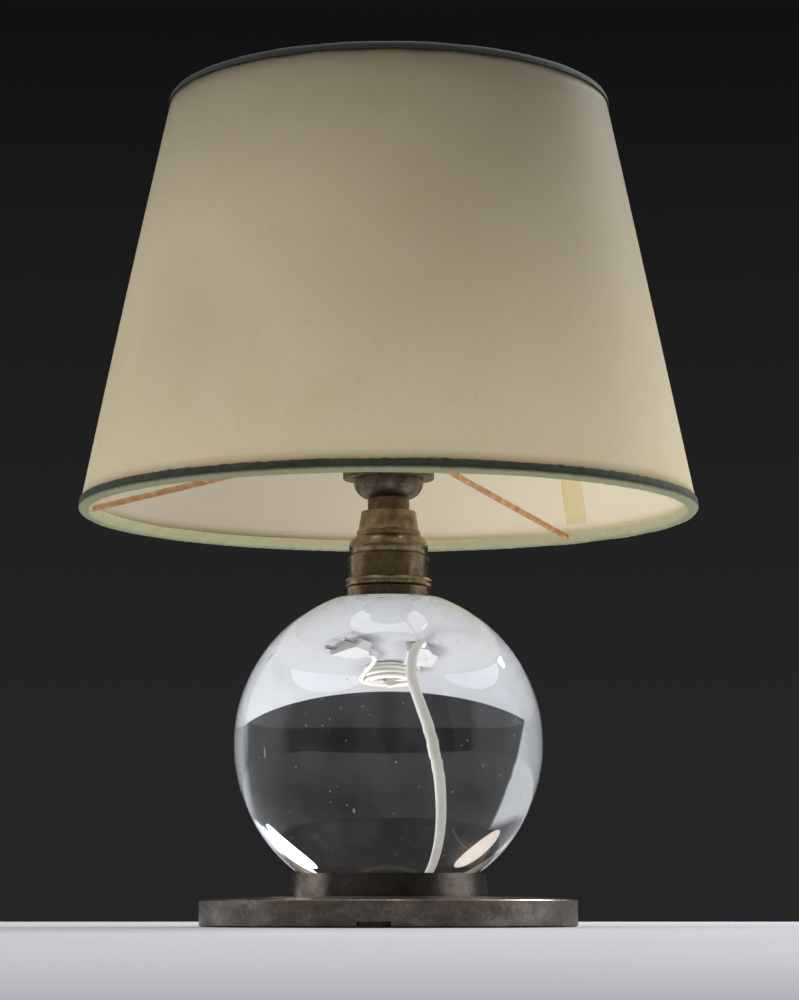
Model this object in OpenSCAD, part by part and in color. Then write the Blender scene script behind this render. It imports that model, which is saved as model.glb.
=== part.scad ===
/* [Base plate] */
// Diameter of the base plate
base_d = 146; // [120:1:190]
// Height of the plate's upright edge
base_edge_h = 10.1; // [8:0.1:16]
// Rise of the crowned top above the edge
base_crown = 1.2; // [0.4:0.1:2.4]
// Width of the crowned border
base_border = 28; // [15:1:30]
// Bevel on the plate's edges
base_bevel = 0.4; // [0.2:0.1:0.8]
// Width of the notch in the plate's lower edge
notch_w = 12.5; // [8:0.5:20]
// Height of the notch
notch_h = 2.1; // [1:0.1:4]
// Depth of the notch from the plate's edge
notch_deep = 3; // [1:0.5:4]
// Sideways place of the notch's middle
notch_shift = -5; // [-20:1:20]
// Thickness of the felt disc
felt_t = 1.2; // [0.8:0.1:3]
// How far the felt stands below the plate
felt_proud = 0.2; // [0.1:0.1:0.6]
// Width of bare plate around the felt
felt_border = 5; // [4:0.5:10]

/* [Ball seat] */
// Height of the collar that cups the ball
seat_h = 8.8; // [6:0.1:14]
// Width of the collar's rim around the ball
seat_rim_w = 2.4; // [1:0.1:5]
// How much wider the collar's foot is than its rim, on the radius
seat_flare = 1.1; // [0.2:0.1:3]
// Bore through the collar
seat_bore_d = 50; // [46:1:54]
// Thickness of the soft disc under the ball
seat_pad_t = 1.9; // [1:0.1:3]
// Thread diameter of the seat's screws
seat_screw_d = 4; // [3:0.5:5]
// Depth of the tapped holes in the seat
seat_tap_h = 4.4; // [3:0.1:5]
// Number of seat screws
seat_screw_count = 3; // [3:1:6]

/* [Crystal ball] */
// Diameter of the ball
ball_d = 120; // [104:1:140]
// Height of the straight band at the ball's waist, which makes it slightly tall
ball_band = 1.6; // [0.4:0.1:3]
// Diameter of the ground flats at top and bottom
ball_flat_d = 44; // [40:1:48]

/* [Stem] */
// Thickness of the washer on the ball
washer_t = 0.5; // [0.3:0.1:1.5]
// Diameter of the step on the ball
stem_base_d = 34; // [32:0.5:40]
// Height of the step on the ball
stem_base_h = 3.8; // [3:0.1:6]
// Height of the half-round bead above the step
bead_h = 4; // [3:0.1:5]
// How far the bead stands out beyond the step, on the radius
bead_proud = 0.25; // [0.1:0.05:1]
// Diameter of the drum
drum_d = 31.4; // [28:0.2:33]
// Height of the drum
drum_h = 8.2; // [8:0.1:12]
// Wall of the drum
drum_wall = 2.5; // [1.5:0.1:3]
// Diameter of the bun-shaped bead
bun_d = 31; // [27:0.2:34]
// Height of the bun-shaped bead
bun_h = 8.4; // [7:0.1:10]
// Radius of the bun's curve
bun_curve_r = 4.7; // [4.4:0.1:6]
// Diameter of the flare under the cone
flare_d = 25; // [23:0.2:28]
// Height of the flare's upright edge
flare_h = 1.6; // [1:0.1:3]
// Height of the hollow curve above the flare's edge
flare_cove_h = 2; // [1:0.1:3]
// Diameter at the foot of the cone
cone_foot_d = 23.3; // [19:0.1:23.4]
// Diameter at the top of the cone
cone_top_d = 21.4; // [18:0.1:22]
// Height of the cone
cone_h = 6; // [4:0.1:10]
// Diameter of the threaded tube
nipple_d = 10; // [9:0.5:12]
// Bore of the threaded tube
nipple_bore_d = 7; // [5:0.5:7.5]
// Thickness of the lock nut
nut_h = 2.6; // [2:0.1:2.6]
// Width across the corners of the lock nut
nut_corner_d = 16; // [15:0.5:18]

/* [Lampholder] */
// Diameter of the neck
neck_d = 16.4; // [14:0.2:18]
// Height of the neck
neck_h = 5.1; // [4:0.1:8]
// Diameter of the bowl where it meets the ring
bowl_d = 27.4; // [25:0.2:29]
// Height of the bowl
bowl_h = 7.9; // [6:0.1:10]
// Wall of the bowl
bowl_wall = 1.2; // [0.8:0.1:1.6]
// Diameter of the knurled ring over its ribs
knurl_d = 35.8; // [35.6:0.1:40]
// Height of the knurled ring
knurl_h = 6.5; // [5:0.1:8]
// Number of ribs on the knurled ring
knurl_ribs = 56; // [36:1:64]
// Depth of the ribs
knurl_deep = 0.35; // [0.2:0.05:0.5]
// Diameter of the barrel
barrel_d = 33.8; // [33:0.1:34.2]
// Height of the barrel above the bowl's flange
barrel_h = 34.7; // [33:0.1:40]
// Wall of the barrel
barrel_wall = 1; // [0.8:0.1:1.2]
// Diameter of the shade rings
shade_ring_d = 42; // [41:0.2:42.6]
// Height of a shade ring
shade_ring_h = 3; // [2:0.1:5]
// Number of grips on a shade ring's edge
shade_ring_grips = 24; // [16:1:32]
// Height of the porcelain insert
insert_h = 10; // [8:0.1:11]
// Inside diameter of the screw shell
shell_d = 26.8; // [26.6:0.1:27]
// Wall of the screw shell
shell_wall = 0.45; // [0.3:0.05:0.5]
// Height of the screw shell
shell_h = 22; // [18:0.5:24]
// Height of the porcelain rim at the mouth
mouth_h = 2; // [1.5:0.1:4]

/* [Bulb] */
// Diameter of the bulb's glass
bulb_d = 60; // [45:1:70]
// Length of the bulb from contact to crown
bulb_l = 106; // [98:1:120]
// Diameter of the bulb's cap
bulb_cap_d = 26.6; // [26.4:0.1:26.7]
// Height of the bulb's cap
bulb_cap_h = 21; // [19:0.5:22]
// Wall of the bulb's glass
bulb_wall = 0.8; // [0.5:0.1:1.2]

/* [Shade] */
// Diameter over the lower trim
shade_bottom_d = 242.4; // [200:1:300]
// Diameter over the upper trim
shade_top_d = 175.2; // [130:1:220]
// Height of the shade over both trims
shade_h = 166.9; // [150:1:200]
// How far the shade's lower edge hangs below the fitter ring
shade_drop = 24.8; // [15:0.2:32]
// Thickness of the paper
paper_t = 0.9; // [0.5:0.1:1.5]
// Thickness of the tape
tape_t = 0.5; // [0.3:0.1:0.8]
// Height of the lower trim on the outside
lower_lap = 4.4; // [4:0.1:8]
// Height of the upper trim on the outside
upper_lap = 3.9; // [3.8:0.1:8]
// Height of both trims on the inside
inner_lap = 5; // [4.5:0.1:9]
// Thickness of the frame's wires
wire_d = 2.4; // [1.8:0.1:3]
// Thickness of the fitter ring
fitter_t = 2; // [1.5:0.1:3]
// Width of the fitter ring
fitter_w = 4; // [3:0.1:5]
// Width of the seam strip
seam_w = 11; // [6:0.5:16]
// Thickness of the seam strip
seam_t = 0.3; // [0.2:0.05:0.5]

/* [Cord set] */
// Diameter of the cord
cord_d = 5; // [4:0.1:5]
// Length of the tapered sleeve outside the drum
relief_l = 20.65; // [20:0.05:40]
// Diameter of the sleeve at the drum
relief_d = 9.2; // [8:0.1:10]
// Diameter of the sleeve's waist in the drum's wall
relief_waist_d = 7; // [6:0.1:7.4]
// Length of the switch
switch_l = 60; // [54:1:66]
// Width of the switch
switch_w = 26; // [22:1:30]
// Height of the switch's lower half
switch_low_h = 6.5; // [6:0.1:8]
// Height of the switch's upper half
switch_top_h = 8.5; // [8:0.1:12]
// Length of the rocker
rocker_l = 20; // [16:1:24]
// Width of the rocker
rocker_w = 10; // [8:0.5:12]
// Lean of the rocker to each side
rocker_lean = 9; // [5:1:12]
// Width of the plug across its shoulders
plug_w = 35; // [30:1:38]
// Thickness of the plug
plug_t = 14; // [12:0.5:16]
// Length of the plug's body
plug_l = 34; // [30:1:38]
// Diameter of the plug's pins
pin_d = 4; // [4:0.1:4.8]
// Distance between the plug's pins
pin_gap = 19; // [19:0.1:19.2]
// Length of the plug's pins
pin_l = 19; // [17:0.5:19]

/* [Hidden] */
$fn = 96;

// Small clearances: a free fit, a running fit on a radius, and a hair between curved faces
free_gap = 0.1;
run_gap = 0.1;
hair = 0.05;
// Between the shade's long curved layers
layer_gap = 0.2;
// Cutters reach this far past the faces that they cut
over = 1;

// Base, seat and ball
base_r = base_d / 2;
plate_z = felt_proud;
rim_z = plate_z + base_edge_h;
plate_top = rim_z + base_crown;
flat_r = base_r - base_border;
crown_r = (base_border * base_border + base_crown * base_crown) / (2 * base_crown);
felt_r = base_r - felt_border;
felt_bed = felt_t - felt_proud;
ball_r = ball_d / 2;
ball_cap_h = sqrt(ball_r * ball_r - pow(ball_flat_d / 2, 2));
ball_half_h = ball_cap_h + ball_band / 2;
ball_low = plate_top + seat_pad_t + free_gap;
ball_z = ball_low + ball_half_h;
ball_top = ball_z + ball_half_h;
bed_gap = 0.25;
seat_top = plate_top + seat_h;
function ball_r_at(z, gap) = sqrt(pow(ball_r + gap, 2) - pow(abs(z - ball_z) - ball_band / 2, 2));
seat_rim_r = ball_r_at(seat_top, bed_gap) + seat_rim_w;
seat_foot_r = seat_rim_r + seat_flare;
seat_screw_at = (seat_bore_d / 2 + seat_foot_r) / 2;
screw_head_r = seat_screw_d;
screw_head_h = seat_screw_d * 0.55;
screw_tip_gap = 0.6;

// Stem, stacked from the ball upwards
base_step_z = ball_top + washer_t;
bead_z = base_step_z + stem_base_h;
drum_z = bead_z + bead_h;
bun_z = drum_z + drum_h;
flare_z = bun_z + bun_h;
cap_z = flare_z + flare_h + flare_cove_h + cone_h;
stem_base_r = stem_base_d / 2;
drum_r = drum_d / 2;
drum_roof = 1.5;
nipple_r = nipple_d / 2;
nipple_low = base_step_z + 1.8;
nipple_high = cap_z + neck_h + 2;
cord_z = drum_z + 4.2;
relief_foot_y = stem_base_r + bead_proud + free_gap;
relief_tip_y = relief_foot_y + relief_l;
window_d = 5.2;
relief_tip_wall = 0.6;

// Lampholder, stacked from the stem upwards
neck_r = neck_d / 2;
bowl_r = bowl_d / 2;
bowl_z = cap_z + neck_h;
ring_z = bowl_z + bowl_h;
ring_lip = 0.8;
barrel_r = barrel_d / 2;
barrel_in = barrel_r - barrel_wall;
flange_z = ring_z + ring_lip + hair;
flange_h = 1.4;
barrel_z = flange_z + flange_h;
barrel_top = barrel_z + barrel_h;
insert_r = barrel_in - free_gap;
insert_top = barrel_z + insert_h;
boss_r = 5.4;
boss_h = 1.3;
shell_in = shell_d / 2;
shell_out = shell_in + shell_wall;
shell_z = insert_top;
sleeve_in = shell_out + free_gap;
mouth_top = barrel_top + mouth_h;
lower_ring_z = ring_z + knurl_h + 0.7;
fitter_z = lower_ring_z + shade_ring_h + free_gap;
upper_ring_z = fitter_z + fitter_t + free_gap;
shade_ring_r = shade_ring_d / 2;
side_post = 8;
post_r = 2;
post_low = ring_z + 0.4;
leaf_top = insert_top + boss_h + 1.9;

// Bulb, standing on the centre contact
bulb_z = leaf_top + free_gap;
bulb_tip_h = 1.8;
bulb_tip_r = 4;
bulb_disc_h = 3;
bulb_cap_z = bulb_z + bulb_tip_h + bulb_disc_h;
bulb_cap_top = bulb_cap_z + bulb_cap_h;
bulb_r = bulb_d / 2;
bulb_centre = bulb_z + bulb_l - bulb_r;
bulb_neck_r = bulb_cap_d / 2 + 0.7;
bulb_neck_z = bulb_cap_top + free_gap;
filament_drop = 14;

// Shade, hung from the fitter ring
shade_low = fitter_z - shade_drop;
shade_high = shade_low + shade_h;
fold_w = wire_d + paper_t + 3 * layer_gap;
fold_r = fold_w / 2;
trim_r = fold_r + tape_t;
// Centres of the two folds: they carry the trims, the wires and the paper's edges
low_fold = [shade_bottom_d / 2 - trim_r, shade_low + trim_r];
high_fold = [shade_top_d / 2 - trim_r, shade_high - trim_r];
fold_lean = atan((low_fold[0] - high_fold[0]) / (high_fold[1] - low_fold[1]));
fold_run = norm(high_fold - low_fold);
// Across the fold, from its middle outwards
paper_out = fold_r - layer_gap;
paper_in = paper_out - paper_t;
wire_mid = paper_in - layer_gap - wire_d / 2;
wire_low = low_fold + wire_mid * [cos(fold_lean), sin(fold_lean)];
wire_high = high_fold + wire_mid * [cos(fold_lean), sin(fold_lean)];
fitter_in = barrel_r + 0.6;
fitter_out = fitter_in + fitter_w;
// Where the three spokes stand, as the hand-bent frame has them
spoke_turns = [180, 50, 300];
seam_turn = 48;

// Cord: the points of its free stretches
cord_r = cord_d / 2;
tie_w = 8;
tie_t = 0.6;
coil_layers = 4;
coil_step = cord_d + 0.45;
coil_low_z = tie_t + cord_r + 0.3;
coil_high_z = coil_low_z + (coil_layers - 1) * coil_step;
switch_axis_z = switch_low_h;
plug_axis_z = plug_t / 2;
// The switch lies along Y, behind the foot
switch_turn = 90;
switch_at = [-28, 252];
switch_in = [switch_at[0], switch_at[1] - switch_l / 2, switch_axis_z];
switch_out = [switch_at[0], switch_at[1] + switch_l / 2, switch_axis_z];
run_points = [[0, relief_tip_y, cord_z], [0, 50, cord_z], [-3, 66, 139],
    [-8, 84, 138.5], [-14, 103, 137], [-19, 122, 133], [-22, 140, 126], [-23, 155, 115],
    [-22, 166, 101], [-19, 173, 85], [-14, 177, 68], [-11, 179, 54], [-12, 181, 42],
    [-15, 184, 31], [-19, 188.5, 21.5], [-23, 195, 13.5], [-26, 203.5, 8.2],
    [-28, 213, switch_axis_z], switch_in];
link_points = [switch_out, [-28, 290, 6.3], [-29.2, 298, 5.3], [-31.8, 306, 4.2],
    [-34.4, 314, 3.6], [-35.8, 320, 3.4], [-36, 325, coil_low_z]];
cord_sides = 10;

// Coil: the link comes in at its left edge and the tail leaves at its right edge
coil_edge = [-36, 330];
coil_mid_r = 26.5;
coil_turns = 8.5;
coil_rings = 24;
coil_sides = 6;
layer_turns = coil_turns / coil_layers;
coil_out_r = coil_mid_r + layer_turns * coil_step / 2;
coil_in_r = coil_mid_r - layer_turns * coil_step / 2;
coil_at = [coil_edge[0] + coil_out_r, coil_edge[1]];
tail_points = [[coil_at[0] + coil_out_r, 325, coil_high_z], [28.3, 317, 19.5],
    [26.6, 308, 18.2], [23, 299, 15.8], [18.2, 290, 12.8], [14, 281, 9.8], [11.9, 272, 7.6],
    [12.4, 264, plug_axis_z], [15.5, 256, plug_axis_z]];

// Switch and plug, on the table; the plug's pins point past the foot's right side
rocker_axis_z = switch_low_h + switch_top_h - 2.6;
rocker_pin_r = 1.5;
rocker_side = 0.3;
rocker_wing = 2.6;
switch_screw_x = 16;
switch_bolt_r = 1.2;
switch_head_r = 2.9;
switch_head_h = 2.5;
cord_boss = 1.5;
plug_at = [15.5, 256];
plug_turn = atan(5 / 12);
plug_neck_l = 12;
plug_face_z = plug_neck_l + plug_l;
pin_root_l = 6;
pin_root_r = pin_d / 2 - 0.4;

// The ball's outline, or the same grown by a gap, as a half section
module ball_section(gap = 0) {
    translate([0, ball_z]) union() {
        ball_cap(gap);
        translate([0, -ball_band / 2]) square([ball_r + gap, ball_band]);
        mirror([0, 1]) ball_cap(gap);
    }
}

module ball_cap(gap) {
    translate([0, ball_band / 2]) intersection() {
        circle(r = ball_r + gap, $fn = 200);
        square([ball_d, ball_cap_h]);
    }
}

// A flat ring
module washer(r, bore, h) {
    difference() {
        cylinder(r = r, h = h);
        translate([0, 0, -over]) cylinder(r = bore, h = h + 2 * over);
    }
}

module felt_pad() {
    color("darkslategray") cylinder(r = felt_r - free_gap, h = felt_t);
}

module base_plate_section() {
    difference() {
        intersection() {
            square([base_r, plate_top]);
            union() {
                square([flat_r, plate_top]);
                translate([flat_r, plate_top - crown_r]) circle(r = crown_r, $fn = 360);
            }
        }
        square([base_r + over, plate_z]);
        translate([base_r, rim_z]) rotate(45) square(base_bevel * sqrt(2), center = true);
        translate([base_r, plate_z]) rotate(45) square(base_bevel * sqrt(2), center = true);
        square([felt_r, felt_t]);
    }
}

module at_seat_screws() {
    for (i = [0 : seat_screw_count - 1])
        rotate(90 + 360 * i / seat_screw_count) translate([seat_screw_at, 0, 0]) children();
}

module base_plate() {
    color("rosybrown") difference() {
        rotate_extrude($fn = 180) base_plate_section();
        at_seat_screws() {
            cylinder(r = seat_screw_d / 2 + free_gap, h = plate_top + over);
            translate([0, 0, felt_t]) cylinder(r1 = screw_head_r + free_gap,
                r2 = seat_screw_d / 2 + free_gap, h = screw_head_h);
        }
        translate([notch_shift - notch_w / 2, -base_r - over, -over])
            cube([notch_w, notch_deep + over, plate_z + notch_h + over]);
    }
}

module seat_screws() {
    tip = plate_top + seat_tap_h - screw_tip_gap;
    color("silver") at_seat_screws() difference() {
        union() {
            translate([0, 0, felt_t]) cylinder(r1 = screw_head_r, r2 = seat_screw_d / 2,
                h = screw_head_h);
            translate([0, 0, felt_t]) cylinder(r = seat_screw_d / 2 - hair, h = tip - felt_t);
        }
        translate([-screw_head_r, -0.5, 0]) cube([2 * screw_head_r, 1, felt_t + 1]);
    }
}

module ball_seat() {
    color("dimgray") difference() {
        rotate_extrude($fn = 180) difference() {
            polygon([[0, plate_top], [seat_foot_r, plate_top], [seat_rim_r, seat_top], [0, seat_top]]);
            ball_section(bed_gap);
            translate([0, plate_top - over]) square([seat_bore_d / 2, seat_h + 2 * over]);
        }
        at_seat_screws() translate([0, 0, plate_top - over])
            cylinder(r = seat_screw_d / 2, h = seat_tap_h + over);
    }
}

module seat_pad() {
    color("black") translate([0, 0, plate_top]) cylinder(r = seat_bore_d / 2 - 1, h = seat_pad_t);
}

module crystal_ball() {
    color("lightcyan", 0.4) rotate_extrude($fn = 200) ball_section();
}

module stem_washer() {
    color("black") translate([0, 0, ball_top]) cylinder(r = stem_base_r - 0.8, h = washer_t);
}

module stem_base() {
    bead_r = bead_h / 2;
    color("darkkhaki") difference() {
        rotate_extrude() union() {
            translate([0, base_step_z]) square([stem_base_r, stem_base_h]);
            translate([0, bead_z]) square([stem_base_r + bead_proud - bead_r, bead_h]);
            translate([stem_base_r + bead_proud - bead_r, bead_z + bead_r]) circle(r = bead_r);
        }
        translate([0, 0, nipple_low]) cylinder(r = nipple_r, h = drum_z);
    }
}

module stem_drum() {
    lip = 0.3;
    color("darkkhaki") difference() {
        rotate_extrude() difference() {
            union() {
                translate([0, drum_z]) square([drum_r, drum_h]);
                translate([0, bun_z - 1]) square([drum_r + lip, 1]);
            }
            translate([0, drum_z - over]) square([drum_r - drum_wall, drum_h - drum_roof + over]);
            square([nipple_r + free_gap, bun_z + over]);
        }
        translate([0, 0, cord_z]) rotate([-90, 0, 0])
            cylinder(r = relief_waist_d / 2 + free_gap, h = drum_r + over);
    }
}

module stem_bun() {
    foot_h = 0.9;
    // The bun bulges most a little below its middle
    waist_z = bun_z + bun_h * 0.47;
    core_r = bun_d / 2 - bun_curve_r;
    color("darkkhaki") rotate_extrude() difference() {
        union() {
            intersection() {
                translate([core_r, waist_z]) circle(r = bun_curve_r);
                translate([0, bun_z]) square([bun_d, bun_h]);
            }
            translate([0, bun_z]) square([core_r, bun_h]);
            translate([0, bun_z]) square([bun_d / 2 - 1, foot_h]);
        }
        square([nipple_r + free_gap, flare_z + over]);
    }
}

module stem_collar() {
    cove_z = flare_z + flare_h;
    cone_z = cove_z + flare_cove_h;
    flare_r = flare_d / 2;
    foot_r = cone_foot_d / 2;
    // The hollow curve rises from the flare's edge and dies into the cone's foot
    cove = flare_r - foot_r;
    cove_r = (cove * cove + flare_cove_h * flare_cove_h) / (2 * cove);
    color("darkkhaki") rotate_extrude() difference() {
        union() {
            translate([0, flare_z]) square([flare_r, flare_h]);
            difference() {
                translate([0, cove_z]) square([flare_r, flare_cove_h]);
                translate([foot_r + cove_r, cone_z]) circle(r = cove_r);
            }
            polygon([[0, cone_z], [foot_r, cone_z], [cone_top_d / 2, cap_z], [0, cap_z]]);
        }
        square([nipple_r + free_gap, cap_z + over]);
    }
}

module nipple_tube() {
    color("goldenrod") difference() {
        translate([0, 0, nipple_low]) cylinder(r = nipple_r - hair, h = nipple_high - nipple_low);
        translate([0, 0, nipple_low - over])
            cylinder(r = nipple_bore_d / 2, h = nipple_high - nipple_low + 2 * over);
        translate([0, 0, cord_z]) rotate([-90, 0, 0]) cylinder(r = window_d / 2, h = nipple_d);
    }
}

module lock_nut() {
    color("goldenrod") translate([0, 0, drum_z]) difference() {
        cylinder(r = nut_corner_d / 2, h = nut_h, $fn = 6);
        translate([0, 0, -over]) cylinder(r = nipple_r, h = nut_h + 2 * over);
    }
}

module cord_relief() {
    wall_in = drum_r - drum_wall;
    head_r = relief_d / 2;
    head_y = sqrt(wall_in * wall_in - head_r * head_r) - free_gap;
    head_t = 1.4;
    color("wheat") union() {
        // The head behind the drum's wall is cut flat above and below
        intersection() {
            along_exit(head_y - head_t) cylinder(r = head_r, h = head_t);
            translate([-head_r, 0, drum_z + free_gap])
                cube([2 * head_r, drum_r, drum_h - drum_roof - 2 * free_gap]);
        }
        along_exit(head_y) cylinder(r = relief_waist_d / 2, h = relief_foot_y - head_y);
        along_exit(relief_foot_y) cylinder(r1 = head_r, r2 = cord_r + relief_tip_wall, h = relief_l);
    }
}

// Places children on the cord's way out of the drum, with z pointing out
module along_exit(y) {
    translate([0, y, cord_z]) rotate([-90, 0, 0]) children();
}

module holder_cap() {
    // The bowl's side is one arc that leaves the neck flat and ends upright at the ring
    swell_h = bowl_h - 1.1;
    swell = bowl_r - neck_r + 1.2;
    swell_r = (swell * swell + swell_h * swell_h) / (2 * swell);
    color("darkkhaki") rotate_extrude() difference() {
        union() {
            translate([0, cap_z]) square([neck_r, neck_h + over]);
            intersection() {
                translate([bowl_r - swell_r, bowl_z + swell_h]) circle(r = swell_r);
                translate([0, bowl_z]) square([bowl_r, swell_h]);
            }
            translate([0, bowl_z]) square([neck_r, bowl_h]);
            translate([0, bowl_z + swell_h]) square([bowl_r, flange_z - bowl_z - swell_h + hair]);
            translate([0, flange_z]) square([barrel_r - hair, flange_h]);
        }
        square([nipple_r, nipple_high + over]);
        intersection() {
            translate([bowl_r - swell_r, bowl_z + swell_h]) circle(r = swell_r - bowl_wall);
            translate([0, nipple_high]) square([bowl_r - bowl_wall, swell_h]);
        }
        translate([0, nipple_high]) square([bowl_r - swell_r, bowl_h]);
        translate([0, bowl_z + swell_h]) square([bowl_r - bowl_wall, bowl_h]);
    }
}

module knurled_ring() {
    ring_r = knurl_d / 2;
    points = [for (i = [0 : 2 * knurl_ribs - 1])
        (ring_r - (i % 2) * knurl_deep) * [cos(180 * i / knurl_ribs), sin(180 * i / knurl_ribs)]];
    color("olive") difference() {
        translate([0, 0, ring_z]) linear_extrude(height = knurl_h) polygon(points);
        translate([0, 0, ring_z - over]) cylinder(r = bowl_r + run_gap, h = knurl_h + 2 * over);
        translate([0, 0, ring_z + ring_lip]) cylinder(r = barrel_r + hair, h = knurl_h + over);
    }
}

module holder_barrel() {
    color("darkkhaki") translate([0, 0, barrel_z]) washer(barrel_r, barrel_in, barrel_h);
}

// A shade ring with a scalloped edge
module shade_ring(z) {
    scallop = 1.2;
    color("darkkhaki") translate([0, 0, z]) difference() {
        cylinder(r = shade_ring_r, h = shade_ring_h);
        translate([0, 0, -over]) cylinder(r = barrel_r + run_gap, h = shade_ring_h + 2 * over);
        for (i = [0 : shade_ring_grips - 1]) rotate(360 * i / shade_ring_grips)
            translate([shade_ring_r + scallop * 0.6, 0, -over])
                cylinder(r = scallop, h = shade_ring_h + 2 * over, $fn = 24);
    }
}

module lower_shade_ring() {
    shade_ring(lower_ring_z);
}

module upper_shade_ring() {
    shade_ring(upper_ring_z);
}

module holder_insert() {
    color("ivory") difference() {
        union() {
            translate([0, 0, barrel_z]) cylinder(r = insert_r, h = insert_h);
            translate([0, 0, insert_top]) cylinder(r = boss_r, h = boss_h);
        }
        for (x = [0, -side_post]) translate([x, 0, barrel_z - over])
            cylinder(r = post_r + hair, h = insert_h + boss_h + 2 * over);
    }
}

module insulating_sleeve() {
    color("ivory") difference() {
        union() {
            translate([0, 0, insert_top]) cylinder(r = insert_r, h = barrel_top - insert_top);
            translate([0, 0, barrel_top]) cylinder(r = barrel_r, h = mouth_h);
        }
        translate([0, 0, insert_top - over]) cylinder(r = sleeve_in, h = mouth_top);
    }
}

module screw_shell() {
    floor_t = 0.5;
    color("gold") difference() {
        translate([0, 0, shell_z]) cylinder(r = shell_out, h = shell_h);
        translate([0, 0, shell_z + floor_t]) cylinder(r = shell_in, h = shell_h);
        translate([0, 0, shell_z - over]) cylinder(r = boss_r + hair, h = shell_h);
    }
}

module contact_post(x, top) {
    translate([x, 0, 0]) difference() {
        translate([0, 0, post_low]) cylinder(r = post_r, h = top - post_low);
        translate([0, 0, post_low - over]) cylinder(r = 1.2, h = 6 + over);
    }
}

module centre_contact() {
    // A sprung leaf bowed up over the post
    leaf_l = 9;
    leaf_t = 0.5;
    leaf_w = 3.6;
    boss_top = insert_top + boss_h;
    rise = leaf_top - boss_top;
    bow_r = (leaf_l * leaf_l / 4 + rise * rise) / (2 * rise);
    color("orange") union() {
        contact_post(0, boss_top);
        translate([0, leaf_w / 2, leaf_top - bow_r]) rotate([90, 0, 0])
            linear_extrude(height = leaf_w) difference() {
                circle(r = bow_r);
                circle(r = bow_r - leaf_t);
                translate([-bow_r - over, -bow_r - over])
                    square([2 * (bow_r + over), 2 * bow_r + over - rise]);
            }
        translate([0, 0, boss_top - hair]) cylinder(r = 0.8, h = rise - leaf_t / 2);
    }
}

module shell_contact() {
    color("orange") contact_post(-side_post, insert_top);
}

module terminal_screws() {
    color("silver") for (x = [0, -side_post]) translate([x, 0, 0]) difference() {
        union() {
            translate([0, 0, post_low - 1.6]) cylinder(r = 1.9, h = 1.6);
            translate([0, 0, post_low - 1]) cylinder(r = 1.2 - hair, h = 6);
        }
        translate([-2, -0.25, post_low - 2.6]) cube([4, 0.5, 1.6]);
    }
}

// Points on a smooth curve through p, each span cut in parts
function curve_point(p, i, t) =
    let (a = p[max(i - 1, 0)], b = p[i], c = p[i + 1], d = p[min(i + 2, len(p) - 1)])
    0.5 * (2 * b + (c - a) * t + (2 * a - 5 * b + 4 * c - d) * t * t
        + (3 * b - a - 3 * c + d) * t * t * t);
function curve(p, parts) = concat(
    [for (i = [0 : len(p) - 2]) for (k = [0 : parts - 1]) curve_point(p, i, k / parts)],
    [p[len(p) - 1]]);
function unit(v) = v / norm(v);
function heading(p, i) = unit(p[min(i + 1, len(p) - 1)] - p[max(i - 1, 0)]);
// The side direction at each point, carried along so that the tube never twists
function side_of(v, t) = unit(v - (v * t) * t);
function sides_along(p, first) = [for (i = 0, v = side_of(first, heading(p, 0)); i < len(p);
    i = i + 1, v = i < len(p) ? side_of(v, heading(p, i)) : v) v];

// A closed tube of radius r along the points p
module tube(p, r, sides, first) {
    n = len(p);
    across = sides_along(p, first);
    rings = [for (i = [0 : n - 1]) let (t = heading(p, i), u = across[i], w = cross(t, u))
        for (k = [0 : sides - 1])
            p[i] + r * (cos(360 * k / sides) * u + sin(360 * k / sides) * w)];
    wall = [for (i = [0 : n - 2]) for (k = [0 : sides - 1])
        let (a = i * sides + k, b = i * sides + (k + 1) % sides)
        each [[a, b + sides, b], [a, a + sides, b + sides]]];
    ends = [for (k = [1 : sides - 2])
        each [[0, k, k + 1], [(n - 1) * sides, (n - 1) * sides + k + 1, (n - 1) * sides + k]]];
    polyhedron(rings, concat(wall, ends));
}

wire_core_r = 0.9;

// One core from the sleeve's inner end, through the window and up the bore
module core(x, to) {
    start_y = sqrt(pow(drum_r - drum_wall, 2) - pow(relief_d / 2, 2)) - 1.6;
    p = [[x, start_y, cord_z], [x, start_y - 2, cord_z], [x, 3.4, cord_z + 0.2],
        [x, 1.2, cord_z + 1.6], [x, 0.3, cord_z + 4.5], [x, 0, cord_z + 9],
        [x, 0, nipple_high - 8], [x, 0, nipple_high - 2], [x * 1.1, 0, nipple_high + 1],
        [(x + to) / 2, 0, nipple_high + 2.4], [to, 0, post_low - 3.2], [to, 0, post_low - 1.8]];
    tube(curve(p, 2), wire_core_r, cord_sides, [1, 0, 0]);
}

module live_wire() {
    color("saddlebrown") core(1.1, 0.4);
}

module neutral_wire() {
    color("royalblue") core(-1.1, -side_post + 0.4);
}

// The glass's outline: a ball on a cone that touches it all round
module bulb_section(r, neck, low) {
    down = bulb_centre - low;
    reach = norm([neck, down]);
    lean = atan(neck / down) + acos(r / reach);
    // Where the cone from the neck's edge touches the ball
    touch = [r * sin(lean), bulb_centre - r * cos(lean)];
    intersection() {
        union() {
            translate([0, bulb_centre]) circle(r = r);
            polygon([[0, low], [neck, low], touch, [0, bulb_centre]]);
        }
        translate([0, low]) square([r, down + r]);
    }
}

module bulb_glass() {
    color("white", 0.6) rotate_extrude() difference() {
        bulb_section(bulb_r, bulb_neck_r, bulb_neck_z);
        bulb_section(bulb_r - bulb_wall, bulb_neck_r - bulb_wall, bulb_neck_z + bulb_wall);
    }
}

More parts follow.
